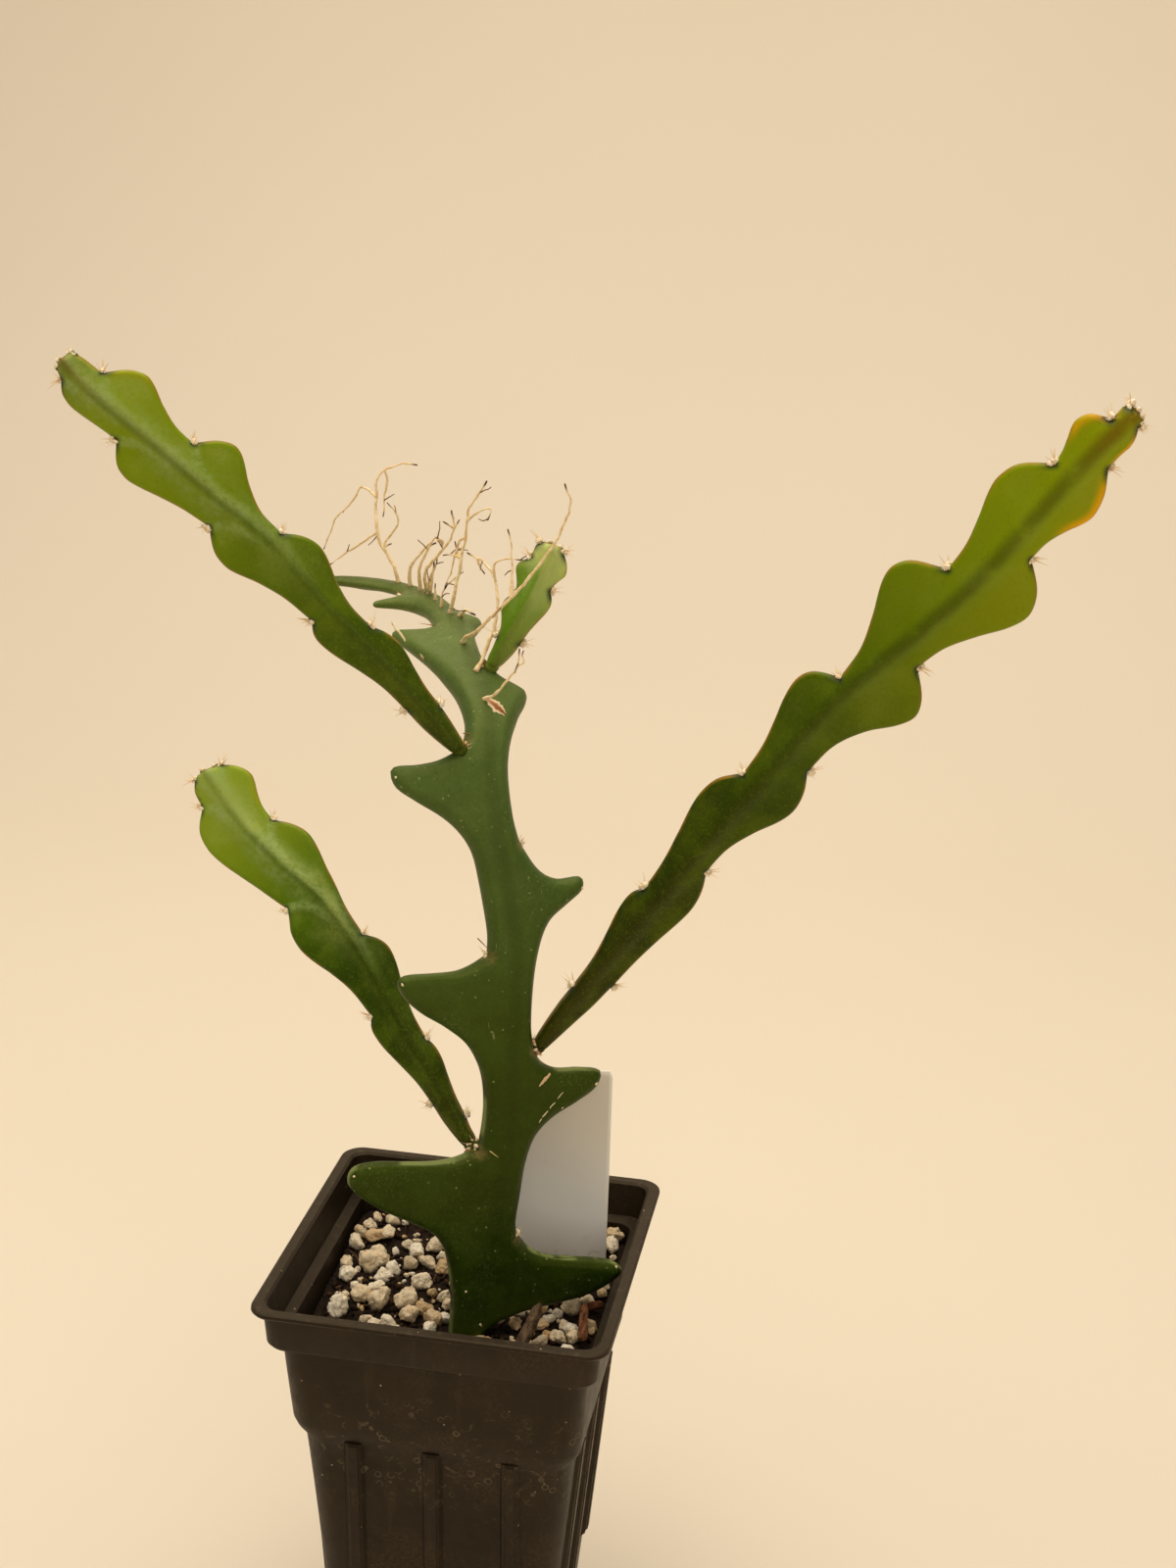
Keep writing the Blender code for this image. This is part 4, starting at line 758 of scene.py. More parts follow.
def ball(subdivisions):
    """An icosphere's unit vertices and its faces."""
    bm = bmesh.new()
    bmesh.ops.create_icosphere(bm, subdivisions=subdivisions, radius=1)
    verts = np.array([vert.co[:] for vert in bm.verts])
    faces = [tuple(vert.index for vert in face.verts) for face in bm.faces]
    bm.free()
    return verts, faces


BALLS = {level: ball(level) for level in (1, 2, 3, 4)}


def any_place(draw, reach):
    return draw.uniform(-reach, reach), draw.uniform(-reach, reach)


def far_place(draw):
    """A place of its own for each form in the noise, so that no two are alike."""
    return Vector([draw.uniform(-50, 50) for _ in range(3)])


def any_spin(draw):
    turn = Vector([draw.gauss(0, 1) for _ in range(3)]).normalized()
    return np.array(Vector((0, 0, 1)).rotation_difference(turn).to_matrix())


def lump(draw, sizes, level, roughness, frequency=0.9):
    """A lumpy form round the origin, with its three half sizes: its vertices and faces."""
    verts, faces = BALLS[level]
    shift = far_place(draw)
    spin = any_spin(draw)
    shaped = []
    for vert in verts:
        way = Vector(vert) * frequency + shift
        bulge = noise.fractal(way, 0.9, 2.1, 3)
        dent = abs(noise.noise(way * 2.3))
        shaped.append(vert * (1 + roughness * (bulge - 0.5 * dent)))
    return (np.array(shaped) * np.array(sizes)) @ spin.T, faces


def stone(draw, sizes, level, facets=12):
    """A broken stone round the origin: a ball cut by flat faces, roughened and pitted."""
    verts, faces = BALLS[level]
    ways = unit_rows(np.array([[draw.gauss(0, 1) for _ in range(3)] for _ in range(facets)]))
    depths = np.array([draw.uniform(0.58, 0.95) for _ in range(facets)])
    facing = np.maximum(verts @ ways.T, 0) / depths
    cut = (1 + (facing ** 16).sum(axis=1)) ** (-1 / 16)
    shift = far_place(draw)
    rough = []
    for vert in verts:
        way = Vector(vert)
        bulge = noise.fractal(way * 1.3 + shift, 0.9, 2.1, 4)
        pit = max(noise.noise(way * 4.6 + shift) - 0.20, 0)
        rough.append(1 + 0.24 * bulge - 0.45 * pit)
    return (verts * (cut * np.array(rough))[:, None] * np.array(sizes)) @ any_spin(draw).T, faces


def srgb(red, green, blue):
    """A colour as a screen shows it, 0 to 255, in the linear numbers that a shader takes."""
    shares = [value / 255 for value in (red, green, blue)]
    return tuple(share / 12.92 if share < 0.04 else ((share + 0.055) / 1.055) ** 2.4 for share in shares)


class Surface:
    """A material's node tree, with a short call for each kind of node, and a colour painted in layers."""

    def __init__(self, name, roughness, specular, **sockets):
        self.material = bpy.data.materials.new(name)
        self.material.use_nodes = True
        self.nodes = self.material.node_tree.nodes
        self.links = self.material.node_tree.links
        self.shader = self.nodes["Principled BSDF"]
        sockets.update(Roughness=roughness, Specular_IOR_Level=specular)
        for socket, value in sockets.items():
            self.shader.inputs[socket.replace("_", " ")].default_value = value
        self.coords = self.node("TexCoord", {}, "Object")
        self.colour = None
        self.normal = None

    def put(self, socket, value):
        """Links a node's output to a socket, or sets the socket's number or colour."""
        if hasattr(value, "is_linked"):
            self.links.new(value, socket)
        elif hasattr(value, "__len__"):
            socket.default_value = (*value, 1) if len(value) == 3 and socket.type == "RGBA" else value
        else:
            socket.default_value = value

    def node(self, kind, inputs, output, **settings):
        """Adds a node, makes its settings, fills its inputs and gives one of its outputs."""
        node = self.nodes.new("ShaderNode" + kind)
        for name, value in settings.items():
            setattr(node, name, value)
        for name, value in inputs.items():
            self.put(node.inputs[name], value)
        return node.outputs[output]

    def value(self, name):
        return self.node("Attribute", {}, "Fac", attribute_name=name)

    def noise(self, size_mm, detail=3.0, roughness=0.5, distortion=0.0, coords=None):
        inputs = {
            "Vector": coords or self.coords, "Scale": 1000.0 / size_mm, "Detail": detail,
            "Roughness": roughness, "Distortion": distortion,
        }
        return self.node("TexNoise", inputs, "Fac")

    def cells(self, size_mm):
        return self.node("TexVoronoi", {"Vector": self.coords, "Scale": 1000.0 / size_mm}, "Distance")

    def stretched(self, x, y, z):
        return self.node("Mapping", {"Vector": self.coords, "Scale": (x, y, z)}, "Vector")

    def axis(self, axis, source=None):
        return self.node("SeparateXYZ", {0: source or self.coords}, axis)

    def normal_axis(self, axis):
        return self.axis(axis, self.node("NewGeometry", {}, "Normal"))

    def math(self, operation, a, b=0.0):
        return self.node("Math", {0: a, 1: b}, 0, operation=operation)

    def both(self, *masks):
        """The product of the masks, taken from left to right."""
        product = masks[0]
        for mask in masks[1:]:
            product = self.math("MULTIPLY", product, mask)
        return product

    def step(self, value, low, high):
        """0 at low, 1 at high, smooth between."""
        rising = low <= high
        inputs = {
            "Value": value, "From Min": min(low, high), "From Max": max(low, high),
            "To Min": 0.0 if rising else 1.0, "To Max": 1.0 if rising else 0.0,
        }
        return self.node("MapRange", inputs, "Result", interpolation_type="SMOOTHSTEP")

    def patches(self, low, high, *noise):
        """Soft patches: 0 where the noise is at low, 1 where it is at high."""
        return self.step(self.noise(*noise), low, high)

    def varied(self, base, amount, *noise):
        """A number that the noise raises above its base by up to the amount."""
        return self.math("ADD", self.both(self.noise(*noise), amount), base)

    def uneven_tone(self, amount, *noise):
        """The piece's own tone, made uneven by the noise."""
        wander = self.math("SUBTRACT", self.noise(*noise), 0.5)
        return self.math("ADD", self.value("tone"), self.both(wander, amount))

    def mix(self, factor, a, b):
        return self.node("Mix", {"Factor": factor, 6: a, 7: b}, 2, data_type="RGBA")

    def ramp(self, value, stops):
        """A colour that changes with the value, from stops of (value, screen colour)."""
        node = self.nodes.new("ShaderNodeValToRGB")
        elements = node.color_ramp.elements
        while len(elements) < len(stops):
            elements.new(0.5)
        for element, (place, colour) in zip(elements, stops):
            element.position = place
            element.color = (*srgb(*colour), 1)
        self.put(node.inputs["Fac"], value)
        return node.outputs["Color"]

    def paint(self, tone, *masks):
        """Lays a screen colour, or one that a node gives, over the colour so far by the masks' product."""
        if not hasattr(tone, "is_linked"):
            tone = srgb(*tone)
        self.colour = self.mix(self.both(*masks), self.colour, tone) if masks else tone

    def bump(self, height, distance_mm, strength):
        """Adds relief to what the surface has so far."""
        inputs = {"Distance": distance_mm * MM, "Strength": strength, "Height": height}
        if self.normal:
            inputs["Normal"] = self.normal
        self.normal = self.node("Bump", inputs, "Normal")

    def finish(self, roughness=None):
        for socket, value in (("Base Color", self.colour), ("Normal", self.normal), ("Roughness", roughness)):
            if value:
                self.put(self.shader.inputs[socket], value)
        return self.material


def young_skin(name, look):
    """A young stem: its tone along it, a darker midrib, dark shoulders at the areoles, a warm margin, a
    painted sheen beside the midrib and, where a look asks, painted shade on its left half.
    """
    look = dict(NO_LAYERS, **look)
    s = Surface(
        name, 0.4, 0.3, Specular_Tint=(*SHEEN, 1),
        Subsurface_Weight=0.12, Subsurface_Scale=0.002, Subsurface_Radius=(0.6, 1.0, 0.1),
    )
    along, out, inset, areole, shoulder, vein = [s.value(value) for value in STEM_VALUES]
    width = s.math("ABSOLUTE", out)
    upper = s.step(along, 0.35, 0.65)
    grain = s.noise(0.6, 2, 0.6)
    frost = s.math("ADD", s.both(s.patches(0.36, 0.66, 1.5, 5, 0.72), 0.75), 0.25)
    midrib_tone = s.ramp(along, look["midrib"])
    s.paint(s.ramp(along, look["tones"]))
    s.paint(look["light"], s.patches(0.35, 0.7, 9, 4, 0.6), 0.22)
    s.paint((158, 150, 4), s.step(out, 1.5, 6.0), s.step(along, 0.45, 0.85), look["yellow"])
    glaucous = s.both(s.step(width, 6.2, 1.4), s.step(along, 0.40, 0.72), s.patches(0.25, 0.60, 8, 3, 0.5))
    s.paint((150, 172, 112), glaucous, frost, look["glaucous"])
    midrib = s.both(s.step(width, look["midrib_width"], 0.3), s.patches(0.15, 0.5, 5, 3))
    s.paint(midrib_tone, midrib, look["midrib_depth"])
    # Painted sheen: a pale streak just right of the midrib on the upper stem, standing in for light off the
    # raised midrib
    painted_midrib_sheen = s.both(s.step(out, -0.2, 0.9), s.step(out, 3.4, 1.3), upper, s.patches(0.25, 0.6, 1.1, 4, 0.7))
    s.paint((152, 168, 104), painted_midrib_sheen, look["painted_midrib_sheen"])
    # Painted shade: a deeper green over the left half towards the tip, the side that lies in shade
    s.paint((84, 126, 4), s.step(out, 0.3, -0.9), s.step(along, 0.88, 0.72), look["painted_left_shade"])
    bloom = s.both(s.patches(0.45, 0.68, 14, 2, 0.5), s.patches(0.15, 0.6, 0.8, 3, 0.6))
    s.paint((158, 172, 84), bloom, s.step(inset, 0.6, 2.4), upper, look["bloom"])
    s.paint((150, 172, 104), s.step(vein, 0.30, 0.9), upper, frost, look["glaucous"])
    s.paint(look["light"], s.step(grain, 0.50, 0.72), 0.20)
    s.paint(midrib_tone, s.step(grain, 0.44, 0.26), 0.30)
    corner = s.both(s.step(out, -0.5, -1.5), s.step(along, 0.925, 0.95))
    lobe = s.both(s.step(out, 0.5, 1.5), s.step(along, 0.84, 0.88), s.step(along, 0.94, 0.91))
    broad = s.both(s.step(inset, 2.6, 0.3), s.step(width, 3.4, 7.0), s.math("MAXIMUM", corner, lobe))
    edge = s.both(s.step(inset, 1.2, 0.2), s.step(along, 0.93, 0.97), s.step(width, 2.0, 3.4))
    s.paint((232, 168, 10), s.math("MAXIMUM", broad, edge), s.patches(0.36, 0.52, 12, 2), look["gold"])
    s.paint((150, 104, 26), s.step(inset, 0.55, 0.1), s.patches(0.36, 0.6, 6, 3), 0.70)
    near = s.both(s.step(areole, 4.5, 1.0), s.patches(0.2, 0.55, 1.4, 3, 0.6))
    s.paint((30, 58, 28), s.step(shoulder, 1.8, 0.2), s.step(inset, 2.2, 0.5), near, 0.80)
    teal = s.both(s.step(shoulder, 0.9, 0.15), s.step(inset, 1.2, 0.2), s.step(areole, 2.4, 0.7))
    s.paint((12, 32, 24), teal, 0.88)
    s.bump(s.noise(2.6, 3, 0.55), 0.14, 0.4)
    s.bump(s.noise(0.5, 2, 0.6), 0.04, 0.5)
    return s.finish(s.varied(0.30, 0.18, 3, 3))


def cork():
    """Scars and the scaly collars: dark brown through pinkish tan to cream, by tone."""
    s = Surface("cork", 0.85, 0.2)
    s.paint(s.ramp(s.uneven_tone(0.22, 0.7, 4, 0.7), [
        (0.0, (104, 62, 32)), (0.3, (150, 100, 62)), (0.6, (222, 172, 134)), (0.8, (212, 188, 140)),
        (1.0, (242, 228, 194)),
    ]))
    s.bump(s.noise(0.5, 4, 0.75), 0.10, 0.8)
    return s.finish()


def old_skin():
    """The old stem: deep green low down and grey-green above, with pale flecks and fine scratches."""
    s = Surface("old_stem_skin", 0.45, 0.26, Specular_Tint=(*SHEEN, 1))
    along, out, inset, areole = [s.value(value) for value in STEM_VALUES[:4]]
    lights = s.ramp(along, OLD_LIGHTS)
    grain = s.noise(0.6, 2, 0.6)
    s.paint(s.ramp(along, OLD_TONES))
    s.paint(lights, s.patches(0.34, 0.70, 10, 5, 0.65), 0.34)
    s.paint(lights, s.patches(0.46, 0.66, 2.0, 4, 0.7), 0.20)
    dust = s.both(s.patches(0.52, 0.74, 0.7, 3, 0.7), s.patches(0.40, 0.62, 18, 3))
    s.paint((124, 142, 92), dust, 0.28)
    dots = s.both(s.step(s.cells(2.2), 0.16, 0.06), s.patches(0.46, 0.56, 12, 2))
    s.paint((146, 162, 100), dots, 0.62)
    scratches = s.patches(0.66, 0.74, 1.1, 3, 0.6, 0.5, s.stretched(1.0, 1.0, 0.16))
    s.paint((150, 160, 108), scratches, s.patches(0.50, 0.60, 14, 2), 0.50)
    s.paint(lights, s.step(grain, 0.50, 0.72), 0.26)
    s.paint((26, 38, 10), s.step(grain, 0.44, 0.26), 0.32)
    s.paint((24, 38, 6), s.step(s.math("ABSOLUTE", out), 2.8, 0.5), s.step(along, 0.08, 0.20), 0.25)
    # A pale line along the lower lobes' margins: partly pale cork, partly a painted rim highlight
    rim = s.both(s.step(inset, 0.55, 0.12), s.patches(0.42, 0.60, 9, 3), s.step(along, 0.50, 0.26))
    s.paint((142, 156, 92), rim, 0.60)
    s.paint((126, 108, 66), s.step(areole, 2.6, 0.6), s.patches(0.3, 0.6, 0.9, 3), 0.55)
    s.bump(s.noise(4.5, 4, 0.6), 0.30, 0.5)
    s.bump(s.noise(0.55, 3, 0.7), 0.06, 0.6)
    return s.finish(s.varied(0.34, 0.22, 2.4, 3))


def spine_matter():
    """Spines: golden to dark brown by tone."""
    s = Surface("golden_spine", 0.45, 0.3)
    s.paint(s.ramp(s.uneven_tone(0.25, 1.5, 3), [
        (0.0, (252, 226, 166)), (0.45, (216, 158, 84)), (1.0, (96, 52, 22)),
    ]))
    return s.finish()


def root_skin():
    """Aerial roots: pale tan and papery, with a few brown patches, darker at a foot and dark at a dry tip."""
    s = Surface("aerial_root_skin", 0.75, 0.25)
    tip, foot = s.value("tip"), s.value("foot")
    s.paint((228, 192, 134))
    s.paint((252, 234, 192), s.patches(0.3, 0.7, 1.3, 3, 0.6))
    s.paint((124, 74, 38), s.patches(0.64, 0.72, 2.6, 3), s.step(foot, 0.9, 0.2), 0.6)
    s.paint((160, 114, 68), s.step(foot, 0.3, 1.0), 0.50)
    s.paint((80, 38, 18), s.step(tip, 0.30, 0.85))
    s.bump(s.noise(0.6, 4, 0.7), 0.10, 0.8)
    return s.finish()


def wool_matter():
    """The areoles' wool: cream, with tan patches."""
    s = Surface("areole_wool", 0.9, 0.2)
    s.paint((230, 204, 160))
    s.paint((255, 248, 228), s.patches(0.3, 0.7, 0.8, 3))
    s.bump(s.noise(0.8 / 3, 3), 0.05, 0.5)
    return s.finish()


def pumice_stone():
    """Pumice: cream to buff, stained ochre in places, pitted, darker in its small pits and towards its foot.
    """
    s = Surface("pumice_stone", 0.9, 0.2)
    tone, low = s.value("tone"), s.value("low")
    s.paint((204, 184, 148))
    s.paint((242, 230, 204), s.patches(0.3, 0.7, 2.4, 4, 0.6))
    s.paint((246, 240, 224), s.step(tone, 0.5, 1.0), 0.6)
    s.paint((190, 156, 104), s.step(tone, 0.30, 0.05), 0.6)
    s.paint((190, 134, 58), s.patches(0.51, 0.64, 2.4, 4, 0.65), s.step(tone, 0.98, 0.3), 0.70)
    s.paint((96, 66, 38), s.patches(0.56, 0.68, 1.5, 5, 0.7), 0.55)
    pits = s.both(s.step(s.cells(0.7), 0.26, 0.10), s.patches(0.46, 0.62, 1.9, 2))
    s.paint((70, 48, 28), pits, 0.80)
    # Darker towards each stone's foot
    s.paint((70, 50, 32), s.step(low, 0.55, 1.0), 0.80)
    s.bump(s.noise(0.9, 4, 0.7), 0.30, 0.8)
    s.bump(s.cells(0.6), 0.14, 0.6)
    return s.finish()


def mix_matter():
    """Potting mix: near black to brown, with paler crumbs."""
    s = Surface("potting_mix_matter", 0.95, 0.2)
    s.paint((14, 9, 5))
    s.paint((52, 36, 24), s.patches(0.3, 0.75, 1.4, 4, 0.7))
    s.paint((92, 66, 42), s.value("tone"), 0.8)
    s.bump(s.noise(0.9, 5, 0.75), 0.5, 0.9)
    return s.finish()


def bark_matter():
    """Bark, streaked along its grain, grey-brown or reddish by tone."""
    s = Surface("bark_matter", 0.92, 0.2)
    grain = s.noise(1.0, 5, 0.7, 0.6, s.stretched(1.0, 0.30, 0.6))
    streaks = s.step(grain, 0.3, 0.7)
    grey = s.mix(streaks, srgb(46, 34, 24), srgb(118, 96, 72))
    red = s.mix(streaks, srgb(58, 30, 16), srgb(140, 90, 56))
    s.paint(s.mix(s.value("tone"), grey, red))
    s.bump(grain, 0.6, 0.9)
    return s.finish()


def label_plastic():
    """Bare white plastic, painted lighter low down where shade falls, a little grimy at the mix, with a
    painted highlight along its cut edges.
    """
    s = Surface("bare_label_plastic", 0.4, 0.4)
    s.paint((214, 206, 192))
    s.paint((224, 216, 202), s.patches(0.3, 0.7, 30, 2))
    # Painted light: the lower part made whiter, lifting the shade that falls there
    s.paint((246, 246, 244), s.step(s.axis("Z"), 0.160, 0.122))
    s.paint((176, 170, 156), s.patches(0.58, 0.74, 9, 4, 0.7, 0.8), 0.22)
    s.paint((128, 112, 88), s.patches(0.58, 0.68, 2.6, 5, 0.7, 1.0), s.step(s.axis("Z"), 0.122, 0.110), 0.6)
    # Painted highlight along the cut edges
    s.paint((250, 246, 236), s.step(s.value("edge"), 0.1, 0.9), 0.9)
    s.bump(s.noise(1.2, 3), 0.03, 0.4)
    return s.finish(s.varied(0.28, 0.2, 6, 3))


def pot_plastic():
    """Black nursery plastic: warm black walls, a lip and upward faces paler with dust and painted highlight,
    round water spots and scuffs at the shoulder, painted highlights on the rib crests of the +X side.
    """
    s = Surface("black_nursery_plastic", 0.5, 0.32, Specular_Tint=(1.0, 0.82, 0.56, 1))
    height = s.axis("Z")
    s.paint((16, 10, 4))
    s.paint((29, 20, 10), s.patches(0.3, 0.75, 18, 5, 0.6))
    s.paint((56, 42, 26), s.patches(0.55, 0.75, 5, 4, 0.6, 0.3, s.stretched(1.0, 1.0, 0.12)), 0.35)
    s.paint((80, 64, 44), s.patches(0.46, 0.64, 26, 4, 0.7), s.patches(0.40, 0.66, 0.8, 3, 0.7), 0.25)
    # Upward faces paler: partly dust, partly a painted highlight from the light above
    up = s.step(s.normal_axis("Z"), 0.45, 0.95)
    s.paint((46, 38, 29), up, 0.80)
    s.paint((92, 80, 64), up, s.patches(0.54, 0.68, 2.4, 4, 0.7), 0.35)
    inside = s.both(s.step(height, 0.1262, 0.1245), s.value("inner"), s.step(height, 0.100, 0.108))
    s.paint((34, 28, 20), inside, s.patches(0.25, 0.7, 7, 4, 0.65), 0.6)
    shoulder = s.both(s.step(height, 0.062, 0.088), s.step(height, 0.108, 0.094))
    spots = s.cells(3.1)
    rings = s.both(s.step(spots, 0.20, 0.27), s.step(spots, 0.36, 0.29), s.patches(0.50, 0.60, 9, 3))
    s.paint((128, 114, 92), rings, shoulder, 0.36)
    s.paint((108, 94, 74), s.patches(0.57, 0.70, 3.4, 5, 0.7, 1.2), shoulder, 0.42)
    s.paint((168, 152, 126), s.step(s.cells(4.6), 0.075, 0.03), s.patches(0.45, 0.6, 11, 2), 0.85)
    # Painted highlights along the rib crests on the +X side, below the shoulder
    crest = s.both(
        s.step(s.math("PINGPONG", s.axis("Y"), 0.010), 0.0019, 0.0014),
        s.step(s.normal_axis("X"), 0.6, 0.95), s.step(height, 0.092, 0.084),
    )
    s.paint((124, 108, 84), crest, s.patches(0.3, 0.6, 6, 3), 0.30)
    s.bump(s.noise(0.7, 3, 0.6), 0.04, 0.5)
    s.bump(s.noise(22, 2), 0.6, 0.25)
    return s.finish(s.varied(0.36, 0.30, 4, 4, 0.65))


def half_width(height):
    """The half width of the pot's outer wall below its shoulder."""
    low, high = POT_SECTIONS[1], POT_SECTIONS[2]
    return low[1] + (high[1] - low[1]) * (height - low[0]) / (high[0] - low[0])


def rounded_square(half, radius):
    """A square's outline with round corners and evenly split sides, anticlockwise from the +X side."""
    points = []
    for corner, (sx, sy) in enumerate(((1, 1), (-1, 1), (-1, -1), (1, -1))):
        for step in range(CORNER_STEPS + 1):
            angle = (corner + step / CORNER_STEPS) * math.pi / 2
            x, y = sx * (half - radius), sy * (half - radius)
            points.append((x + radius * math.cos(angle), y + radius * math.sin(angle)))
    full = []
    for i, point in enumerate(points):
        full.append(point)
        if i % (CORNER_STEPS + 1) == CORNER_STEPS:
            way = np.array(points[(i + 1) % len(points)]) - point
            full += [tuple(np.array(point) + way * k / SIDE_PARTS) for k in range(1, SIDE_PARTS)]
    return full


def subdivided_sections():
    """The pot's sections with long walls split, so that the walls can waver a little."""
    rows = []
    for low, high in zip(POT_SECTIONS, POT_SECTIONS[1:]):
        parts = max(int(abs(high[0] - low[0]) / 5), 1)
        rows += [np.array(low) + (np.array(high) - low) * k / parts for k in range(parts)]
    rows.append(np.array(POT_SECTIONS[-1]))
    return rows


def loose_object(name, bm):
    bmesh.ops.scale(bm, vec=(MM, MM, MM), verts=bm.verts)
    bmesh.ops.recalc_face_normals(bm, faces=bm.faces)
    mesh = bpy.data.meshes.new(name)
    bm.to_mesh(mesh)
    bm.free()
    return bpy.data.objects.new(name, mesh)


def rib_object(place, side):
    """A tapered bar on the lower body with softened edges, slanted off at its foot."""
    bm = bmesh.new()
    bmesh.ops.create_cube(bm, size=2)
    for vert in bm.verts:
        crest = vert.co.y < 0
        height = RIB_TOP if vert.co.z > 0 else RIB_FOOT
        if crest and vert.co.z < 0:
            height += RIB_PROUD
        vert.co = Vector((
            place + vert.co.x * (RIB_CREST_WIDTH if crest else RIB_WIDTH) / 2,
            -(half_width(height) + (RIB_PROUD if crest else -0.9)),
            height,
        ))
    crest = [edge for edge in bm.edges if all(vert.co.y < -half_width(vert.co.z) for vert in edge.verts)]
    bmesh.ops.bevel(bm, geom=crest, offset=0.6, segments=3, affect="EDGES")
    obj = loose_object("rib", bm)
    obj.rotation_euler.z = side * math.pi / 2
    return obj


def drain_object(x, y):
    bm = bmesh.new()
    bmesh.ops.create_cone(bm, cap_ends=True, segments=28, radius1=DRAIN_RADIUS, radius2=DRAIN_RADIUS, depth=8)
    bmesh.ops.translate(bm, vec=(x, y, 0), verts=bm.verts)
    return loose_object("drain", bm)


def join_all(obj, helpers, operation):
    """One Boolean of the object with all the helpers, applied, and the helpers removed."""
    collection = bpy.data.collections.new("helpers")
    bpy.context.scene.collection.children.link(collection)
    for helper in helpers:
        collection.objects.link(helper)
    modifier = obj.modifiers.new(operation.title(), "BOOLEAN")
    modifier.operation = operation
    modifier.operand_type = "COLLECTION"
    modifier.collection = collection
    modifier.solver = "EXACT"
    graph = bpy.context.evaluated_depsgraph_get()
    mesh = bpy.data.meshes.new_from_object(obj.evaluated_get(graph))
    obj.modifiers.clear()
    obj.data = mesh
    for helper in helpers:
        bpy.data.objects.remove(helper, do_unlink=True)
    bpy.data.collections.remove(collection)


def make_pot():
    """The pot's walls in rings from its sections, with its ribs joined on and its drain holes cut."""
    verts = []
    inner = []
    rows = subdivided_sections()
    inside_from = next(i for i, row in enumerate(rows) if row[0] == POT_TOP and row[1] < POT_LIP_INNER)
    for i, (height, half, radius) in enumerate(rows):
        for x, y in rounded_square(half, radius):
            # The walls waver by up to 0.22 mm, but not at the foot and the rim
            waver = 0.22 * noise.noise(Vector((x * 0.03, y * 0.03, height * 0.02 + 3)))
            firm = min(max((124 - height) / 20, 0), 1) * min(height / 10, 1)
            scale = 1 + waver * firm / half
            verts.append((x * scale, y * scale, height))
            inner.append(1.0 if i >= inside_from else 0.0)
    gather = Gather("inner")
    gather.add(verts, capped_rings(len(rows), len(verts) // len(rows)), inner=inner)
    pot = gather.piece("nursery_pot", pot_plastic(), "black_plastic", "pot", sharp=POT_SHARP)
    ribs = [rib_object(place, side) for side in range(4) for place in RIB_PLACES]
    join_all(pot, ribs, "UNION")
    join_all(pot, [drain_object(x, y) for x, y in DRAIN_SPOTS], "DIFFERENCE")
    pot.data.set_sharp_from_angle(angle=math.radians(POT_SHARP))


def soil_height(x, y):
    """The mix's surface: the plain slope, low mounds and crumbs."""
    place = Vector((x, y, 0))
    mounds = 1.1 * noise.noise(place * 0.11) + 0.6 * noise.noise(place * 0.31)
    return SOIL_LEVEL + SOIL_RISE * y + mounds


def round_off(x, y, half, radius):
    """A place in a square, drawn in where it lies outside the square's round corners."""
    over = math.hypot(max(abs(x) - half + radius, 0), max(abs(y) - half + radius, 0))
    if over <= radius:
        return x, y
    pull = radius / over
    return tuple(
        math.copysign(half - radius + (abs(value) - half + radius) * pull, value)
        if abs(value) > half - radius else value for value in (x, y)
    )


def make_mix(material):
    """A block down to the pot's floor under a crumbly top, with loose crumbs and shreds on it."""
    half = SOIL_HALF
    verts = []
    square = []
    for j in range(MIX_CELLS + 1):
        for i in range(MIX_CELLS + 1):
            x, y = (2 * i / MIX_CELLS - 1) * half, (2 * j / MIX_CELLS - 1) * half
            square.append((x / half, y / half))
            x, y = round_off(x, y, half, SOIL_CORNER)
            place = Vector((x, y, 0))
            fine = 0.5 * abs(noise.noise(place * 2.1 + Vector((9, 2, 0))))
            crumbs = 0.9 * abs(noise.noise(place * 0.9)) + fine
            verts.append((x, y, soil_height(x, y) + crumbs - 0.5))
    faces = grid_faces(MIX_CELLS, MIX_CELLS)
    ring = around = grid_border(MIX_CELLS, MIX_CELLS)
    for height, reach, corner in MIX_SECTIONS:
        below = list(range(len(verts), len(verts) + len(around)))
        for index in around:
            x, y = square[index]
            verts.append((*round_off(x * reach, y * reach, reach, corner), height))
        faces += zip(ring, ring[1:] + ring[:1], below[1:] + below[:1], below)
        ring = below
    faces.append(tuple(ring))
    gather = Gather("tone")
    gather.add(verts, faces)
    draw = random.Random(MIX_SEED)
    for _ in range(CRUMB_COUNT):
        x, y = any_place(draw, half - 1.5)
        size = draw.uniform(0.4, 1.3)
        crumb = lump(draw, (size, size * 0.75, size * 0.55), 1, 0.6)
        gather.lay(crumb, (x, y, soil_height(x, y) + 0.3 * size), tone=draw.random() ** 3)
    for _ in range(SHRED_COUNT):
        x, y = any_place(draw, half - 3)
        turn, length = draw.uniform(0, math.pi), draw.uniform(2, 6)
        way = np.array([math.cos(turn), math.sin(turn), draw.uniform(-0.05, 0.25)])
        middle = np.array([x, y, soil_height(x, y) + 0.5])
        sag = np.array([draw.uniform(-0.3, 0.3), draw.uniform(-0.3, 0.3), draw.uniform(0, 0.5)])
        path = smooth_path([middle - way * length / 2, middle + sag, middle + way * length / 2], 1.0)
        tube(gather, path, [SHRED_RADIUS] * len(path), 5, tone=draw.random())
    gather.piece("crumbly_potting_mix", material, "potting_mix", "potting_mix")


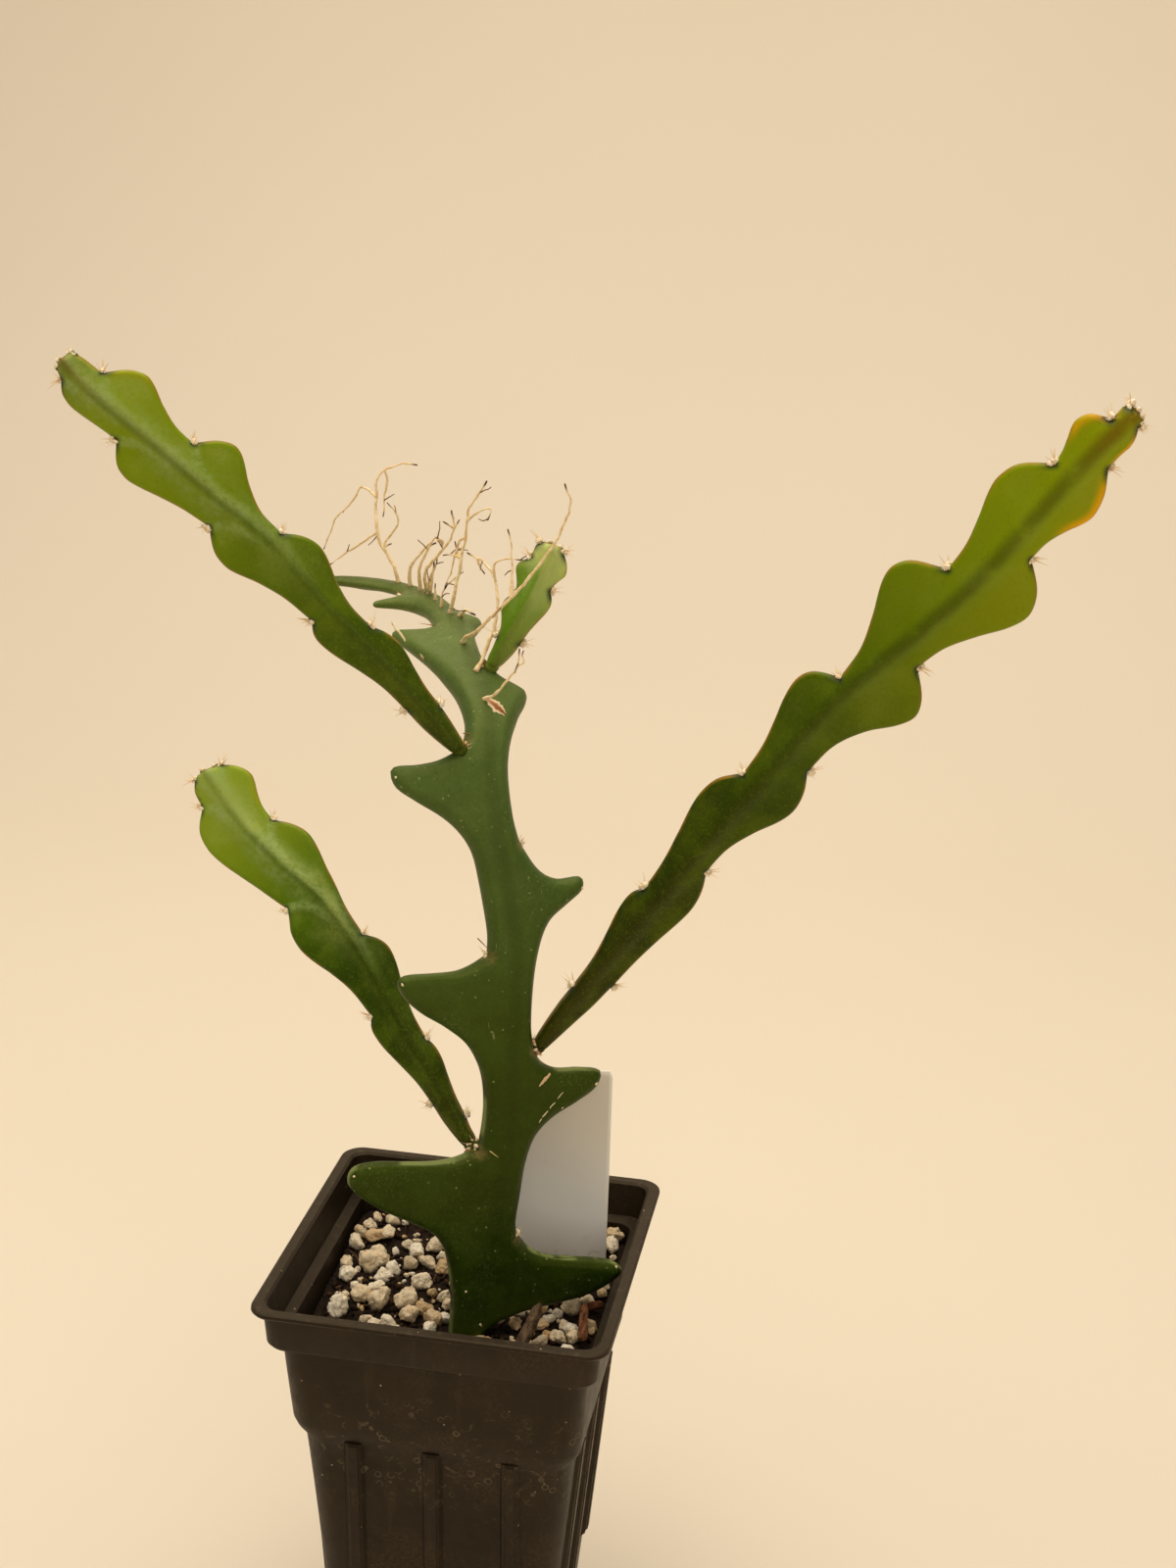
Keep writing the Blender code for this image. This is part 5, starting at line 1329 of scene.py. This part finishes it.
def taken_spots(stem):
    """Where the stem, the bark and the label stand on the mix, as circles (x, y, radius)."""
    taken = []
    for along in np.arange(8, 34, 1.0):
        for out in np.arange(-9, 9.1, 1.5):
            half = float(np.interp(abs(out), [0, 12], [4.2, 3.0]))
            place = stem.place(float(along), float(out))
            margin = stem.margin_point(-1 if out < 0 else 1, float(along))[1]
            if abs(out) <= margin and place[2] < SOIL_LEVEL + 5:
                taken.append((place[0], place[1], half * 0.8))
    for low, high, radius in BARK_PIECES.values():
        for share in np.linspace(0, 1, 6):
            spot = np.array(low) + (np.array(high) - low) * share
            if spot[2] < SOIL_LEVEL + 4:
                taken.append((spot[0], spot[1], radius))
    for across in np.arange(-17, 17.1, 1.0):
        taken.append((LABEL_PLACE[0] + across, LABEL_PLACE[1] - LABEL_BOW / 2, 0.9))
    return np.array(taken)


def clear_of(x, y, radius, taken):
    """Whether a stone there keeps off all the taken spots."""
    gaps = np.linalg.norm(taken[:, :2] - (x, y), axis=1)
    return bool((gaps > radius * 0.75 + taken[:, 2]).all())


def make_stones(stem, material):
    """Pumice on the mix: the stones that the photograph shows, then others strewn between them, then grit."""
    draw = random.Random(STONE_SEED)
    taken = taken_spots(stem)
    stones = []
    for x, y, radius in STONES_SEEN:
        if clear_of(x, y, radius * 0.6, taken):
            stones.append((x, y, radius * 1.12, 4))
    reach = SOIL_HALF - 0.6
    for _ in range(STONE_TRIES):
        if len(stones) >= STONE_COUNT:
            break
        radius = draw.uniform(1.2, 2.6)
        x, y = any_place(draw, reach - radius)
        # More of them to the right in front, fewer to the left
        crowd = 0.30 if x > 4 and y < 4 else -0.30 if x < 2 else 0.0
        if draw.uniform(-0.35, 0.35) > noise.noise(Vector((x * 0.09, y * 0.09, 4))) + crowd:
            continue
        if any(math.hypot(x - a, y - b) < 0.86 * (radius + r) for a, b, r, _ in stones):
            continue
        if clear_of(x, y, radius, taken):
            stones.append((x, y, radius, 3))
    gather = Gather("tone", "low")
    for x, y, radius, level in stones:
        sizes = [radius * draw.uniform(*span) for span in ((0.95, 1.2), (0.8, 1.05), (0.7, 0.95))]
        shape, faces = stone(draw, sizes, level)
        rise = radius * 0.45
        low = np.clip(1 - (shape[:, 2] + rise) / (0.9 * radius), 0, 1)
        gather.add(shape + (x, y, soil_height(x, y) + rise), faces, tone=draw.random(), low=low)
    gather.piece("pumice_stones", material, "pumice", "pumice", sharp=STONE_SHARP)
    grit = Gather("tone", "low")
    for _ in range(GRIT_COUNT):
        x, y = any_place(draw, reach - 0.5)
        radius = draw.uniform(0.3, 1.0)
        if any(math.hypot(x - a, y - b) < r + radius * 0.5 for a, b, r, _ in stones):
            continue
        if clear_of(x, y, radius, taken):
            grain = stone(draw, (radius, radius * 0.8, radius * 0.7), 2, 7)
            grit.lay(grain, (x, y, soil_height(x, y) + radius * 0.5), tone=draw.random())
    grit.piece("pumice_grit", material, "pumice")


def make_bark(material):
    """Short broken sticks: uneven sided, split along the grain and ragged at the ends."""
    for seed, (name, (low, high, radius)) in enumerate(BARK_PIECES.items()):
        draw = random.Random(BARK_SEED + seed)
        low, high = np.array(low, float), np.array(high, float)
        way = unit(high - low)
        side = unit(np.cross(way, (0, 0, 1)))
        other = np.cross(side, way)
        verts = []
        shift = Vector((seed * 7.0, 3.0, 1.0))
        for share in np.linspace(0, 1, BARK_ROWS).tolist():
            taper = 1 - 0.25 * share
            close = min(min(share, 1 - share) / 0.12, 1)
            for k in range(BARK_SIDES):
                angle = 2 * math.pi * k / BARK_SIDES
                way_out = Vector((math.cos(angle), math.sin(angle), share * 1.3))
                ridge = noise.noise(way_out * 1.7 + shift) * 0.35 + noise.noise(way_out * 5 + shift) * 0.14
                ragged = 0.10 * noise.noise(Vector((angle * 2, share * 9, seed)))
                reach = radius * taper * (0.25 + 0.75 * math.sqrt(close)) * (1 + ridge) * 0.92
                verts.append(
                    low + (high - low) * (0.03 + 0.94 * share + ragged * (1 - close))
                    + reach * turned(side, 0.85 * other, k / BARK_SIDES)
                )
        gather = Gather("tone")
        tone = 0.0 if name == "bark_stick" else draw.uniform(0.75, 1.0)
        gather.add(verts, capped_rings(BARK_ROWS, BARK_SIDES), tone=tone)
        gather.piece("rough_" + name, material, "bark", name)


def make_label(material):
    """A thin bare strip, bowed across its width, with small round corners at its top."""
    columns, rows = LABEL_CELLS
    verts = []
    for face in (1, -1):
        for j in range(rows + 1):
            height = LABEL_FOOT + (LABEL_TOP - LABEL_FOOT) * j / rows
            below = max(LABEL_CORNER - (LABEL_TOP - height), 0)
            trim = LABEL_CORNER - math.sqrt(max(LABEL_CORNER ** 2 - below ** 2, 0))
            for i in range(columns + 1):
                across = 1 - 2 * i / columns
                x = LABEL_PLACE[0] + across * (LABEL_WIDTH / 2 - trim)
                bow = LABEL_BOW * (across * across - 1) + 0.25 * math.sin(height * 0.05)
                verts.append((x, LABEL_PLACE[1] + bow + face * LABEL_THICK / 2, height))
    layer = len(verts) // 2
    faces = grid_faces(columns, rows)
    faces += [tuple(layer + i for i in reversed(face)) for face in faces]
    border = grid_border(columns, rows)
    for index, after in zip(border, border[1:] + border[:1]):
        faces.append((index, layer + index, layer + after, after))
    on_border = set(border)
    gather = Gather("edge")
    gather.add(verts, faces, edge=[1.0 if i % layer in on_border else 0.0 for i in range(2 * layer)])
    gather.piece("bare_plant_label", material, "label_plastic", "plant_label", sharp=LABEL_SHARP)


def hair(gather, root, way, length, radius, draw, sides=4, **values):
    """A fine tapering hair that bends a little."""
    way = unit(way)
    bend = np.array([draw.uniform(-1, 1) for _ in range(3)]) * length * 0.12
    line = [root + way * length * share + bend * share * share for share in (0, 0.3, 0.6, 0.85, 1.0)]
    tube(gather, line, [radius * share for share in (1, 0.85, 0.6, 0.35, 0.12)], sides, **values)


def make_areoles(name, stem, pads, spines, feet, rules):
    """Each areole's cream wool pad and its spines and hairs, fewer where a young stem's foot stands."""
    draw = random.Random(len(name) * 7)
    for along, out in stem.areoles():
        side = math.copysign(1, out)
        across, normal, tangent = stem.ways_at(along)
        outward = unit(side * across + 0.35 * tangent)
        root = stem.place(along, out - side * 0.15)
        carries = any(np.linalg.norm(root - foot) < FOOT_REACH for foot in feet)
        size = rules["pad"] * draw.uniform(0.8, 1.15)
        for _ in range(rules["tufts"]):
            tuft = lump(draw, (size * 0.5, size * 0.42, size * 0.38), 2, 0.7, 2.0)
            spread = 0.5 * size
            shift = draw.uniform(-spread, spread) * normal + draw.uniform(-spread, spread) * tangent
            pads.lay(tuft, root + shift + outward * draw.uniform(0.2, 0.55) * size)
        for _ in range(rules["fuzz"]):
            way = outward + normal * draw.uniform(-1.2, 1.2) + tangent * draw.uniform(-1.0, 1.0)
            start = root + normal * draw.uniform(-0.5, 0.5) * size
            hair(pads, start, way, draw.uniform(0.9, 1.6) * size, WOOL_RADIUS, draw, 3)
        for k in range(rules["spines"]):
            lean = math.radians(-80 + 160 * (k + 0.5) / rules["spines"] + draw.uniform(-14, 14))
            way = math.cos(lean) * outward + math.sin(lean) * normal + draw.uniform(-0.25, 0.75) * tangent
            if carries and abs(math.sin(lean)) < 0.8:
                continue
            length = draw.uniform(*rules["reach"])
            start = root + 0.3 * math.sin(lean) * normal
            hair(spines, start, way, length, rules["radius"], draw, tone=draw.uniform(*rules["tone"]))


def add_growing_tip(stem, gather, wool_gather, draw):
    """The crowded end of a young stem: dark green knobs in pairs at its margins, cream wool between them."""
    for back in (0.2, 1.2):
        for side in (-1, 1):
            along = stem.length - back - (0.4 if side > 0 else 0.0)
            line = stem.margins[side]["line"]
            out = float(np.interp(along, line[:, 0], line[:, 1]))
            across, normal, tangent = stem.ways_at(along)
            size = draw.uniform(0.65, 0.85)
            spot = stem.place(along, side * out * 0.9) + normal * draw.uniform(-0.3, 0.6)
            knob = lump(draw, (size * 0.8, size * 0.6, size * 0.8), 2, 0.25)
            gather.lay(knob, spot, along=1.0, out=side * 3.0, inset=0.6, areole=1.8, shoulder=0.3)
            tuft = spot + tangent * size * 0.6 + normal * 0.4 - side * across * 0.35
            for _ in range(3):
                wool = lump(draw, [draw.uniform(0.36, 0.52)] * 3, 2, 0.7, 2.0)
                shift = normal * draw.uniform(-0.4, 0.4) + across * draw.uniform(-0.5, 0.5)
                wool_gather.lay(wool, tuft + shift)
            for _ in range(6):
                way = tangent + side * across * draw.uniform(-0.3, 1.2) + normal * draw.uniform(-1.1, 1.1)
                hair(wool_gather, tuft, way, draw.uniform(0.7, 1.7), WOOL_RADIUS, draw, 3)


def add_scar(gather, stem, scar, draw):
    """A corky scar: a thin closed strip on a stem's face, sunk along its ragged edges."""
    line, halves, start_tones, end_tones = scar
    path = smooth_path([(along + stem.stub, out, 0) for along, out in line], 0.35)[:, :2]
    reach = chord_lengths(path)
    ways = unit_rows(np.gradient(path, axis=0))
    shift = draw.uniform(0, 100)
    columns = np.linspace(-1, 1, 7)
    points = []
    for i, share in enumerate(reach / reach[-1]):
        half = float(np.interp(share, np.linspace(0, 1, len(halves)), halves))
        rim, left, right = (a + (b - a) * share for a, b in zip(start_tones, end_tones))
        for column in columns:
            ragged = 1 + 0.45 * noise.noise(Vector((reach[i] * 1.6, 4.0 if column > 0 else 0.0, shift)))
            across = column * half * ragged
            tone = rim if abs(column) > 0.6 else left if column < 0 else right
            lift = 0.26 * (1 - column ** 4) - 0.04
            points.append((path[i, 0] - ways[i, 1] * across, path[i, 1] + ways[i, 0] * across, lift, tone))
        points.append((*path[i], -0.6, rim))
    alongs, outs, lifts, tones = np.array(points).T
    gather.add(stem.on_face(alongs, outs, lifts), capped_rings(len(path), len(columns) + 1), tone=tones)


def add_foot(main, stem, gather, cork_gather, wool_gather, draw):
    """A young stem's foot, carried down into its areole, with the scales and hairs round it."""
    low, high = stem.frame_at(0.0)[0], stem.frame_at(1.6)[0]
    spots = [main.place(along, out - math.copysign(1.2, out)) for along, out in main.areoles()]
    seat = min(spots, key=lambda spot: np.linalg.norm(spot - low))
    path = smooth_path([seat, low, high], 0.4)
    values = {"along": 0.0, "out": 2.5, "inset": 2.0, "areole": 9.0, "shoulder": 9.0}
    tube(gather, path, np.linspace(1.85, 1.6, len(path)), 16, **values)
    way = unit(high - seat)
    side = unit(np.cross(way, (0, 1, 0)))
    other = np.cross(way, side)
    centre = seat + (low - seat) * 0.75
    for k in range(COLLAR_SCALES):
        round_way = turned(side, other, (k + draw.uniform(-0.3, 0.3)) / COLLAR_SCALES)
        spot = centre + round_way * draw.uniform(1.65, 2.1) + way * draw.uniform(-0.6, 0.9)
        size = draw.uniform(0.4, 0.7)
        scale = lump(draw, (size, size * 0.7, size * 0.8), 2, 0.6, 1.6)
        cork_gather.lay(scale, spot, tone=draw.uniform(0.3, 1.0))
        for _ in range(2):
            lean = round_way + way * draw.uniform(-0.5, 1.0)
            hair(wool_gather, spot, lean, draw.uniform(0.8, 1.9), 0.06, draw, 3)


def make_stem_pieces(stems):
    """The five stems, with scars, areoles, spines and growing tips gathered into one piece of each kind."""
    wool = wool_matter()
    draw = random.Random(SCAR_SEED)
    feet = [np.array(young["path"][0]) for young in YOUNG_STEMS.values()]
    main = stems["main_stem"]
    gather = Gather(*STEM_VALUES)
    main.surface(*OLD_GRID, gather)
    gather.piece("old_stem", old_skin(), "old_stem", "main_stem")
    scars, pads, spines, tips = Gather("tone"), Gather(), Gather("tone"), Gather()
    for scar in MAIN_SCARS:
        add_scar(scars, main, scar, draw)
    for along, out, size in MAIN_DOTS:
        dot = lump(draw, (size, size * 0.8, size * 0.8), 2, 0.5, 1.6)
        scars.lay(dot, main.spot(along, out, -0.1), tone=0.95)
    for seat, way, length, tone in LONG_SPINES:
        hair(spines, main.spot(*seat, -0.2), way, length, LONG_SPINE_RADIUS, draw, tone=tone)
    make_areoles("main_stem", main, pads, spines, feet, MAIN_AREOLES)
    skins = {name: young_skin(name.replace("stem", "skin"), look) for name, look in YOUNG_LOOKS.items()}
    for seed, (name, skin) in enumerate(skins.items()):
        stem = stems[name]
        gather = Gather(*STEM_VALUES)
        stem.surface(*YOUNG_GRID, gather)
        add_growing_tip(stem, gather, tips, random.Random(TIP_SEED + seed))
        add_foot(main, stem, gather, scars, pads, random.Random(FOOT_SEED + seed))
        gather.piece("young_" + name, skin, "young_stem", name)
        make_areoles(name, stem, pads, spines, [], YOUNG_AREOLES)
    scars.piece("corky_scars", cork(), "old_stem")
    pads.piece("areole_wool", wool, "aerial_root")
    spines.piece("areole_spines", spine_matter(), "aerial_root")
    tips.piece("growing_tip_wool", wool, "aerial_root")


def wavy(points, draw, amount):
    """A smooth run through the points that wanders a little off them, held at its start."""
    path = smooth_path(points, 0.45)
    travelled = chord_lengths(path)
    shift = draw.uniform(0, 100)
    for i, reach in enumerate(travelled):
        hold = min(reach / 3.0, 1)
        for axis in range(3):
            way = Vector((reach * 0.22 + shift, axis * 7.3, shift))
            path[i, axis] += amount * hold * (noise.noise(way) + 0.45 * noise.noise(way * 2.7))
    return path


def add_root(gather, path, radius, draw, seated):
    """An uneven tube that tapers to its tip and, where it has a seat, flares at its foot."""
    reach = chord_lengths(path)
    share = reach / reach[-1]
    shift = draw.uniform(0, 100)
    uneven = np.array([noise.noise(Vector((value * 0.5, shift, 1))) for value in reach])
    flare = 0.8 * np.exp(-reach / 1.0) if seated else np.zeros(len(reach))
    radii = radius * (1.08 - 0.62 * share ** 1.3 + 0.24 * uneven + flare)
    tip = np.clip((reach - (reach[-1] - 3.2)) / 3.2, 0, 1)
    foot = np.exp(-reach / 1.3) if seated else np.zeros(len(reach))
    tube(gather, path, radii, 8, tip=tip, foot=foot)


def add_rootlet(gather, path, draw):
    """A short hair-thin dark side root."""
    start = path[draw.randrange(len(path) // 3, len(path) - 1)]
    way = unit([draw.uniform(-1, 1), draw.uniform(-0.6, 0.6), draw.uniform(-0.5, 1)])
    length = draw.uniform(2.0, 5.0)
    line = [start, start + way * length * 0.5 + (0, 0, draw.uniform(-0.6, 0.6)), start + way * length]
    path_out = wavy(line, draw, 0.5)
    tube(gather, path_out, np.linspace(0.2, 0.12, len(path_out)), 5, tip=0.7)


def make_roots(stem, material):
    """Each root with its side roots and strands. One that has a seat starts there in a small swelling."""
    for seed, (name, runs) in enumerate(ROOTS.items()):
        draw = random.Random(ROOT_SEED + seed)
        gather = Gather("tip", "foot")
        main = None
        fine = ROOT_FINE.get(name, 1.0)
        for k, run in enumerate(runs + EXTRA_STRANDS.get(name, [])):
            seated = len(run[0]) == 2
            if seated:
                start = stem.spot(*run[0], -0.15)
                gather.lay(lump(draw, (0.65, 0.6, 0.5), 2, 0.6, 1.6), start, foot=1.0)
            else:
                start = main[np.argmin(np.linalg.norm(main - np.array(run[0]), axis=1))]
            path = wavy([start] + run[1:], draw, 0.45 if k == 0 else 0.35)
            radius = ROOT_RADIUS if k == 0 else SIDE_ROOT_RADIUS
            add_root(gather, path, radius * fine, draw, seated)
            if k == 0:
                main = path
            if k == 0 or len(path) > 12:
                add_rootlet(gather, path, draw)
        if name == "aerial_root_hook":
            head = smooth_path(main[-1] + np.array(HOOK_HEAD), 0.3)
            tube(gather, head, [0.5] * len(head), 8, tip=0.5)
        gather.piece("fine_" + name, material, "aerial_root", name)


def make_stage():
    """A plain pale floor that curves up behind."""
    s = Surface("pale_floor", 0.75, 0.2)
    s.paint((226, 216, 198))
    s.paint((232, 222, 206), s.noise(400, 3))
    width, front, back, radius, wall = STAGE_SIZES
    turns = np.linspace(0, math.pi / 2, 24)
    profile = [(back + radius * math.sin(turn), radius * (1 - math.cos(turn))) for turn in turns]
    profile = [(front, 0.0)] + profile + [(back + radius, wall)]
    verts = [(x, y, z) for y, z in profile for x in (-width, width)]
    faces = [(2 * i, 2 * i + 1, 2 * i + 3, 2 * i + 2) for i in range(len(profile) - 1)]
    mesh = mesh_of("floor", verts, faces)
    mesh.shade_smooth()
    mesh.materials.append(s.finish())
    floor = put_in_scene("floor", mesh)


def area_light(name, place, target, size, power, colour):
    light = bpy.data.lights.new(name, "AREA")
    light.shape = "RECTANGLE"
    light.size, light.size_y = size
    light.energy = power
    light.color = colour
    obj = put_in_scene(name, light)
    obj.location = place
    obj.rotation_euler = (Vector(target) - Vector(place)).to_track_quat("-Z", "Y").to_euler()


def make_lights():
    """A broad soft light overhead, a weak one in front and a dim warm room."""
    area_light("overhead_softbox", (-0.12, 0.10, 1.35), (0, 0, 0.15), (1.5, 1.3), 18.0, (1.0, 0.90, 0.76))
    area_light("front_fill", (0.7, -1.5, 0.7), (0, 0, 0.2), (1.4, 1.2), 6.0, (1.0, 0.92, 0.80))
    world = bpy.data.worlds.new("soft_room")
    world.use_nodes = True
    background = world.node_tree.nodes["Background"]
    background.inputs["Color"].default_value = (1.0, 0.86, 0.68, 1)
    background.inputs["Strength"].default_value = 0.36
    bpy.context.scene.world = world
    bpy.context.scene.view_settings.view_transform = "Standard"


def make_camera():
    data = bpy.data.cameras.new("camera")
    data.sensor_fit = "VERTICAL"
    data.sensor_height = 36.0
    data.lens = CAMERA_LENS
    data.clip_start, data.clip_end = 0.01, 20.0
    camera = put_in_scene("camera", data)
    camera.location = tuple(c * MM for c in CAMERA_PLACE)
    camera.rotation_euler = tuple(math.radians(angle) for angle in CAMERA_ANGLES)
    bpy.context.scene.camera = camera


def main():
    make_camera()
    make_stage()
    make_lights()
    stems = make_stems()
    make_pot()
    make_mix(mix_matter())
    make_stones(stems["main_stem"], pumice_stone())
    make_bark(bark_matter())
    make_label(label_plastic())
    make_stem_pieces(stems)
    make_roots(stems["main_stem"], root_skin())
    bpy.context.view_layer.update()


main()
